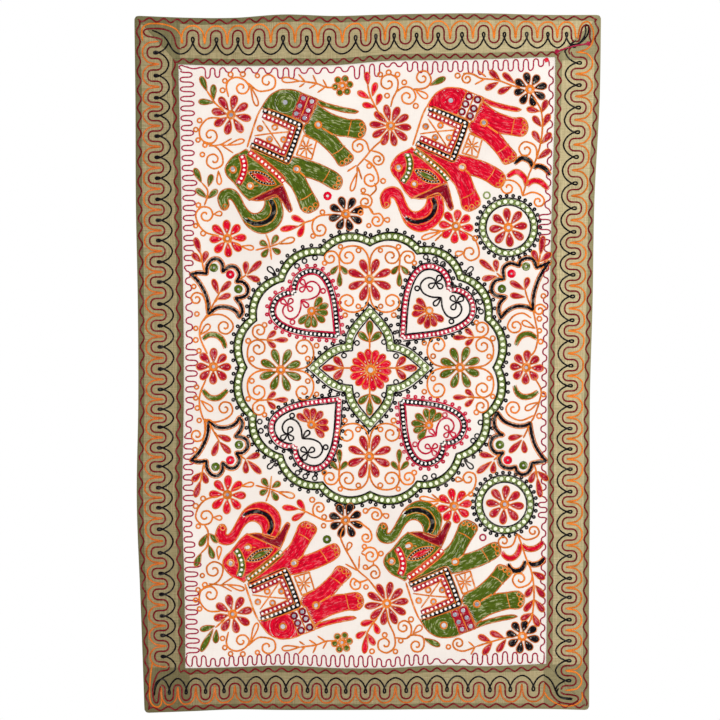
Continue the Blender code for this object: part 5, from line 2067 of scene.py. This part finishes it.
LOW_RIGHT_TULIP = (
    [(530, 423.4), (531.4, 433), (535, 445), (541, 455), (546, 461)],
    [(546, 461), (539, 462), (532, 463.4)],
    [(532, 463.4), (530.6, 468.6), (527.2, 473.2), (521.8, 474.6), (517, 471.8), (515.4, 467)],
    [(515.4, 467), (511, 468.2), (504.8, 467.6), (500.4, 464), (499.4, 457.8), (503, 452.4)],
    [(503, 452.4), (496.8, 453), (492, 449), (490.6, 443), (493, 438), (498, 435.4), (503, 435)],
    [(503, 435), (498, 432), (494.4, 425.4), (494.4, 418.4), (497.4, 413)],
    [(497.4, 413), (504.4, 421.4), (516.6, 426), (525, 425.6), (530, 423.4)],
)


def sew_tulip(at, shape, spots, inner, sprigs):
    """A tulip: black between orange edges, three ringed mirrors, leaves within it and sprigs round it."""
    outline = at(bent(*shape))
    sew("tulips", "black", outline, width=1.6 * LINE, high=1.3 * MM, closed=True)
    for side in (-2.2, 2.2):
        sew("tulips", "orange", offset(outline, side, True), width=0.6 * LINE, high=0.9 * MM, closed=True)
    for place, colour in spots:
        ring("tulips", colour, place, 3.2, width=1.25 * LINE, high=1.4 * MM)
        ring("tulips", colour, place, 1.5, width=1.2 * LINE, high=1.3 * MM)
        mirrors.append((np.array(place), 2.2 * MM))
    for stem, rows in [inner] + sprigs:
        stems(at, stem)
        leaves(at, "crimson", rows, width=6.6)


def sew_tulips():
    """The two tulips of each side; the lower right one has an outline of its own."""
    left_inner = (
        [[(208.8, 312.6), (213.6, 303.6), (219.6, 293)], [(213.6, 303.6), (217.4, 299.4)]],
        [((218.4, 294), (213, 279)), ((219.8, 292.6), (230.6, 281.6)), ((217.2, 299.6), (230.8, 294.4))],
    )
    left_sprigs = [
        ([[(203.5, 270), (202, 260), (200.4, 251.6)]],
         [((200.4, 253.6), (195.2, 237.6)), ((201.2, 262.2), (192.4, 253.4)),
          ((202.8, 263), (207, 251.4))]),
        ([[(239.4, 279.6), (246, 275)]],
         [((245.6, 274.4), (246, 261.4)), ((247.6, 274.2), (261.2, 261.2)),
          ((246.6, 276), (259.8, 280.6))]),
    ]
    right_inner = (
        [[(532, 308.6), (527.6, 298.4), (524.8, 288.6)]],
        [((525.2, 289.4), (528, 277.4)), ((523.8, 289.4), (510.2, 281.6)), ((524.6, 297), (510.2, 295))],
    )
    right_sprigs = [
        ([[(537.4, 268), (539, 262), (540.4, 254)]],
         [((540.2, 255.4), (543.4, 235.8)), ((538, 261.8), (532.6, 250.4)),
          ((540.6, 261.6), (551, 252.8))]),
        ([[(503.6, 279.4), (496.6, 273)]],
         [((494.4, 271.6), (479.8, 260)), ((496.8, 271.4), (495.6, 259.8)),
          ((496.6, 276.4), (482.2, 279.2))]),
    ]
    low_inner = (
        [[(529.6, 424.4), (526.6, 431.4), (523.2, 438)]],
        [((522.4, 435.6), (508.4, 438.6)), ((521.6, 440), (509.4, 452.8)), ((523.4, 440.8), (525, 453))],
    )

    def below_left(p):
        return np.asarray(p, float) * (1, -1) + (0, 734.7)

    def below_right(p):
        return np.asarray(p, float) * (1, -1) + (-2.8, 733.1)

    sew_tulip(same, LEFT_TULIP, [((213.9, 267.8), "green"), ((230.3, 274.5), "red"),
                                 ((238.4, 289.1), "green")],
              left_inner, left_sprigs)
    sew_tulip(below_left, LEFT_TULIP, [((215.7, 466.7), "green"), ((230.3, 460.1), "red"),
                                       ((239, 444.8), "green")],
              left_inner, left_sprigs)
    sew_tulip(same, RIGHT_TULIP, [((526.1, 266.5), "green"), ((511.5, 273.7), "red"),
                                  ((501.9, 288.8), "green")],
              right_inner, right_sprigs)
    sew_tulip(same, LOW_RIGHT_TULIP, [((523.4, 465.4), "green"), ((507.8, 460.2), "red"),
                                      ((499.8, 444.7), "green")],
              low_inner, [])
    for stem, rows in right_sprigs:
        stems(below_right, stem)
        leaves(below_right, "crimson", rows)


def sew_side_vines():
    """The vines that join the tulips to the flowers at mid height."""
    stems(same, [
        [(208.8, 313), (201.9, 322.5), (199.6, 331.6), (201.2, 340.8), (207.4, 354)],
        [(206, 379.6), (200.4, 392.9), (199.6, 405.1), (203.5, 418.9), (208.8, 422)],
        [(533, 309), (535.4, 321.2), (537.8, 335.5), (535.6, 349), (531, 356)],
        [(533.4, 376), (541, 390), (538.6, 404), (534, 416.8), (531, 422)],
    ])
    coils(same, [
        ([(201.2, 322.5), (209.6, 315.6), (221.8, 314.8), (231, 320.9), (233, 328)], (224.6, 326.6), 1.35),
        ([(203.5, 418.9), (215.7, 422), (228, 417.4), (232.6, 411)], (224.8, 408.6), 1.35),
        ([(206.4, 311), (205.6, 302), (202, 294.6)], (196.6, 299), 1.35),
        ([(204.4, 418.6), (205, 431), (202.4, 439.4)], (197, 435), 1.35),
        ([(531.4, 318), (522.6, 313.2), (513.1, 316.4), (507.5, 326)], (515.4, 326), 1.35),
        ([(533.8, 415.4), (521, 420.4), (509.9, 416.2), (505.9, 409)], (513.8, 408.6), 1.35),
    ])
    loops(same, [((200.2, 335), (209.6, 324.6)), ((200.8, 400.4), (212.4, 410.8)),
                 ((535.4, 328.4), (522.2, 321.6)), ((538.6, 402), (525.2, 409.6))], width=5.4)
    rounds(same, [(196.9, 314), (195.8, 328.3), (195.8, 340), (198.9, 350.8), (196.6, 387), (195.8, 398),
                  (197.4, 408), (199.3, 420.4), (193.8, 286.5), (195.1, 449.8), (539.4, 318.8),
                  (539.4, 330.7), (540.6, 341.6), (543.4, 296), (543.4, 394.2), (539.2, 416)])
    for line in ([(202.7, 339.4), (208.6, 335), (216.4, 335.2), (222.6, 340.2), (225.6, 348.4)],
                 [(202.6, 389.8), (209.6, 397.2), (218.8, 397.6), (227.8, 389.8)],
                 [(515.6, 345.4), (520.4, 336.6), (529, 333.8), (536.8, 338.4)],
                 [(514.4, 385.4), (517, 392.6), (523, 396.8), (531, 396), (538.2, 391.4)]):
        crescent("green", line)


def sew_lobe(centre, outwards, fill):
    """The scrolls of one part of the medallion, drawn for one side of the axis through its flower and sewn on
    both."""
    aside = np.array([-outwards[1], outwards[0]])
    for side in (-1, 1):
        at = placed(centre, outwards, side * aside)
        coils(at, [
            ([(8, 0), (17, 0.4), (25.1, 2.4), (31.5, 8), (33.4, 17), (31, 26)], (22.9, 21.6), 1.45),
            ([(16.8, 30.4), (22, 30.6), (27.6, 35)], (21.2, 39), 1.35),
            ([(-8, 0), (-16, 0.4), (-26, 3.4), (-32.3, 12), (-32, 22)], (-22.4, 21.8), 1.45),
        ])
        rounds(at, [(29, 11), (32.6, 29), (16.2, 44.9), (-27, 11.2), (-35.8, 24.3)])
        stems(at, [[(22.4, 30.6), (14, 30), (6.4, 29.6)]])
        pairs = [((13.6, 29), (5.4, 22.4)), ((13.6, 31.4), (5.2, 38.8)), ((7.4, 29.8), (-7, 30))]
        leaves(at, fill, pairs, width=5.8)


def sew_star_sprigs():
    """Three leaves in each arm of the star."""
    for outwards, fill in (((0, -1), "green"), ((0, 1), "green"), ((-1, 0), "crimson"),
                           ((1, 0), "crimson")):
        at = placed(STAR_PX, np.array(outwards), np.array([-outwards[1], outwards[0]]))
        stems(at, [[(18, 0), (36, 0)]])
        pairs = [((29.8, 0), (47.4, 0)), ((26.2, 0.6), (35.4, 11)), ((26.2, -0.6), (35.4, -11))]
        leaves(at, fill, pairs, width=7.6)


def sew_berries():
    """Four round spots by the elephants' feet: two hold a mirror."""
    for place, colour, size in (((327.5, 196), "red", 2.9), ((486.8, 195.3), "leaf", 3.2),
                                ((327, 539.4), "green", 2.9), ((482.8, 537.5), "pink", 3.0)):
        ring("scrolls", colour, place, size, width=(1.6 if size < 3 else 0.9) * LINE, high=1.3 * MM)
        if size < 3:
            mirrors.append((np.array(place), 3.0 * MM))


# Making everything

make_ground()
for which, parts in (("top", 110), ("bottom", 110), ("left", 160), ("right", 160)):
    make_strip(which, parts)
for lines in STRIP_LINES:
    sew_strip(lines)
sew_corners()
sew_edge_runs()
sew_flowers()
sew_middle_flower()
sew_fans()
sew_dot_flower((342.5, 85.7))
sew_dot_flower((342, 642.4))
sew_four_leaves(same)
sew_four_leaves(turned_over(low=True))
sew_medallion()
sew_star()
sew_wheel((508.3, 227.4))
sew_wheel((504.6, 504.5))
for heart in HEARTS:
    sew_heart(heart)
for elephant in ELEPHANTS:
    sew_elephant(elephant)
for at in (same, lower):
    sew_left_scrolls(at)
    sew_branch(at)
sew_left_leaves()
sew_top_middle()
sew_bottom_middle()
sew_right_branches()
sew_tulips()
sew_side_vines()
for centre, outwards, fill in (
    ((369.5, 279.3), (0, -1), "green"), ((280.8, 369.9), (-1, 0), "crimson"),
    ((460.1, 367.4), (1, 0), "crimson"), ((369.3, 456.4), (0, 1), "green"),
):
    sew_lobe(centre, np.array(outwards), fill)
sew_star_sprigs()
sew_berries()
make_strands()
make_domes()
make_mirrors()
for node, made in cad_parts.items():
    if node.startswith("mirror_"):
        bpy.data.objects[node].data.materials.clear()
        bpy.data.objects[node].data.materials.append(GLASS)


# Floor, light and camera

def plain(name, colour, roughness):
    """A material of one even colour."""
    material, shader, _ = start_material(name, roughness)
    shader.inputs["Base Color"].default_value = linear(colour)
    return material


def make_floor():
    """A white floor some way under the hanging."""
    size, height = 2.6, -1.9
    corners = [(-size, -size), (size, -size), (size, size), (-size, size)]
    mesh = bpy.data.meshes.new("floor")
    mesh.from_pydata([(x, y, height) for x, y in corners], [], [(0, 1, 2, 3)])
    mesh.materials.append(plain("floor_white", (246, 246, 246), 0.8))
    floor = bpy.data.objects.new("floor", mesh)
    bpy.context.scene.collection.objects.link(floor)


def make_light():
    """An even white surround, and one large soft lamp high on the right for a little relief."""
    world = bpy.data.worlds.new("surround")
    world.use_nodes = True
    world.node_tree.nodes["Background"].inputs["Color"].default_value = (1, 1, 1, 1)
    world.node_tree.nodes["Background"].inputs["Strength"].default_value = 1.0
    bpy.context.scene.world = world
    lamp = bpy.data.lights.new("window", "AREA")
    lamp.shape = "DISK"
    lamp.size = 1.2
    lamp.energy = 24.0
    holder = bpy.data.objects.new("window", lamp)
    holder.location = (2.1, -2.5, 0.5)
    holder.rotation_mode = "QUATERNION"
    holder.rotation_quaternion = (Vector((0, 0, -0.75)) - holder.location).to_track_quat("-Z", "Y")
    bpy.context.scene.collection.objects.link(holder)


def make_camera():
    """Square on, from far enough that the hanging looks flat; the frame is 720 pixels of the photograph."""
    lens, sensor, frame_px = 135.0, 36.0, 720
    data = bpy.data.cameras.new("camera")
    data.lens = lens
    data.sensor_width = sensor
    camera = bpy.data.objects.new("camera", data)
    centre = (np.array([frame_px / 2, frame_px / 2]) - ORIGIN_PX) * PX
    camera.location = (float(centre[0]), -frame_px * PX * lens / sensor, float(-centre[1]))
    camera.rotation_euler = (np.pi / 2, 0.0, 0.0)
    data.clip_end = 60.0
    bpy.context.scene.collection.objects.link(camera)
    bpy.context.scene.camera = camera


make_floor()
make_light()
make_camera()
bpy.context.scene.view_settings.view_transform = "Standard"
bpy.context.scene.view_settings.look = "None"
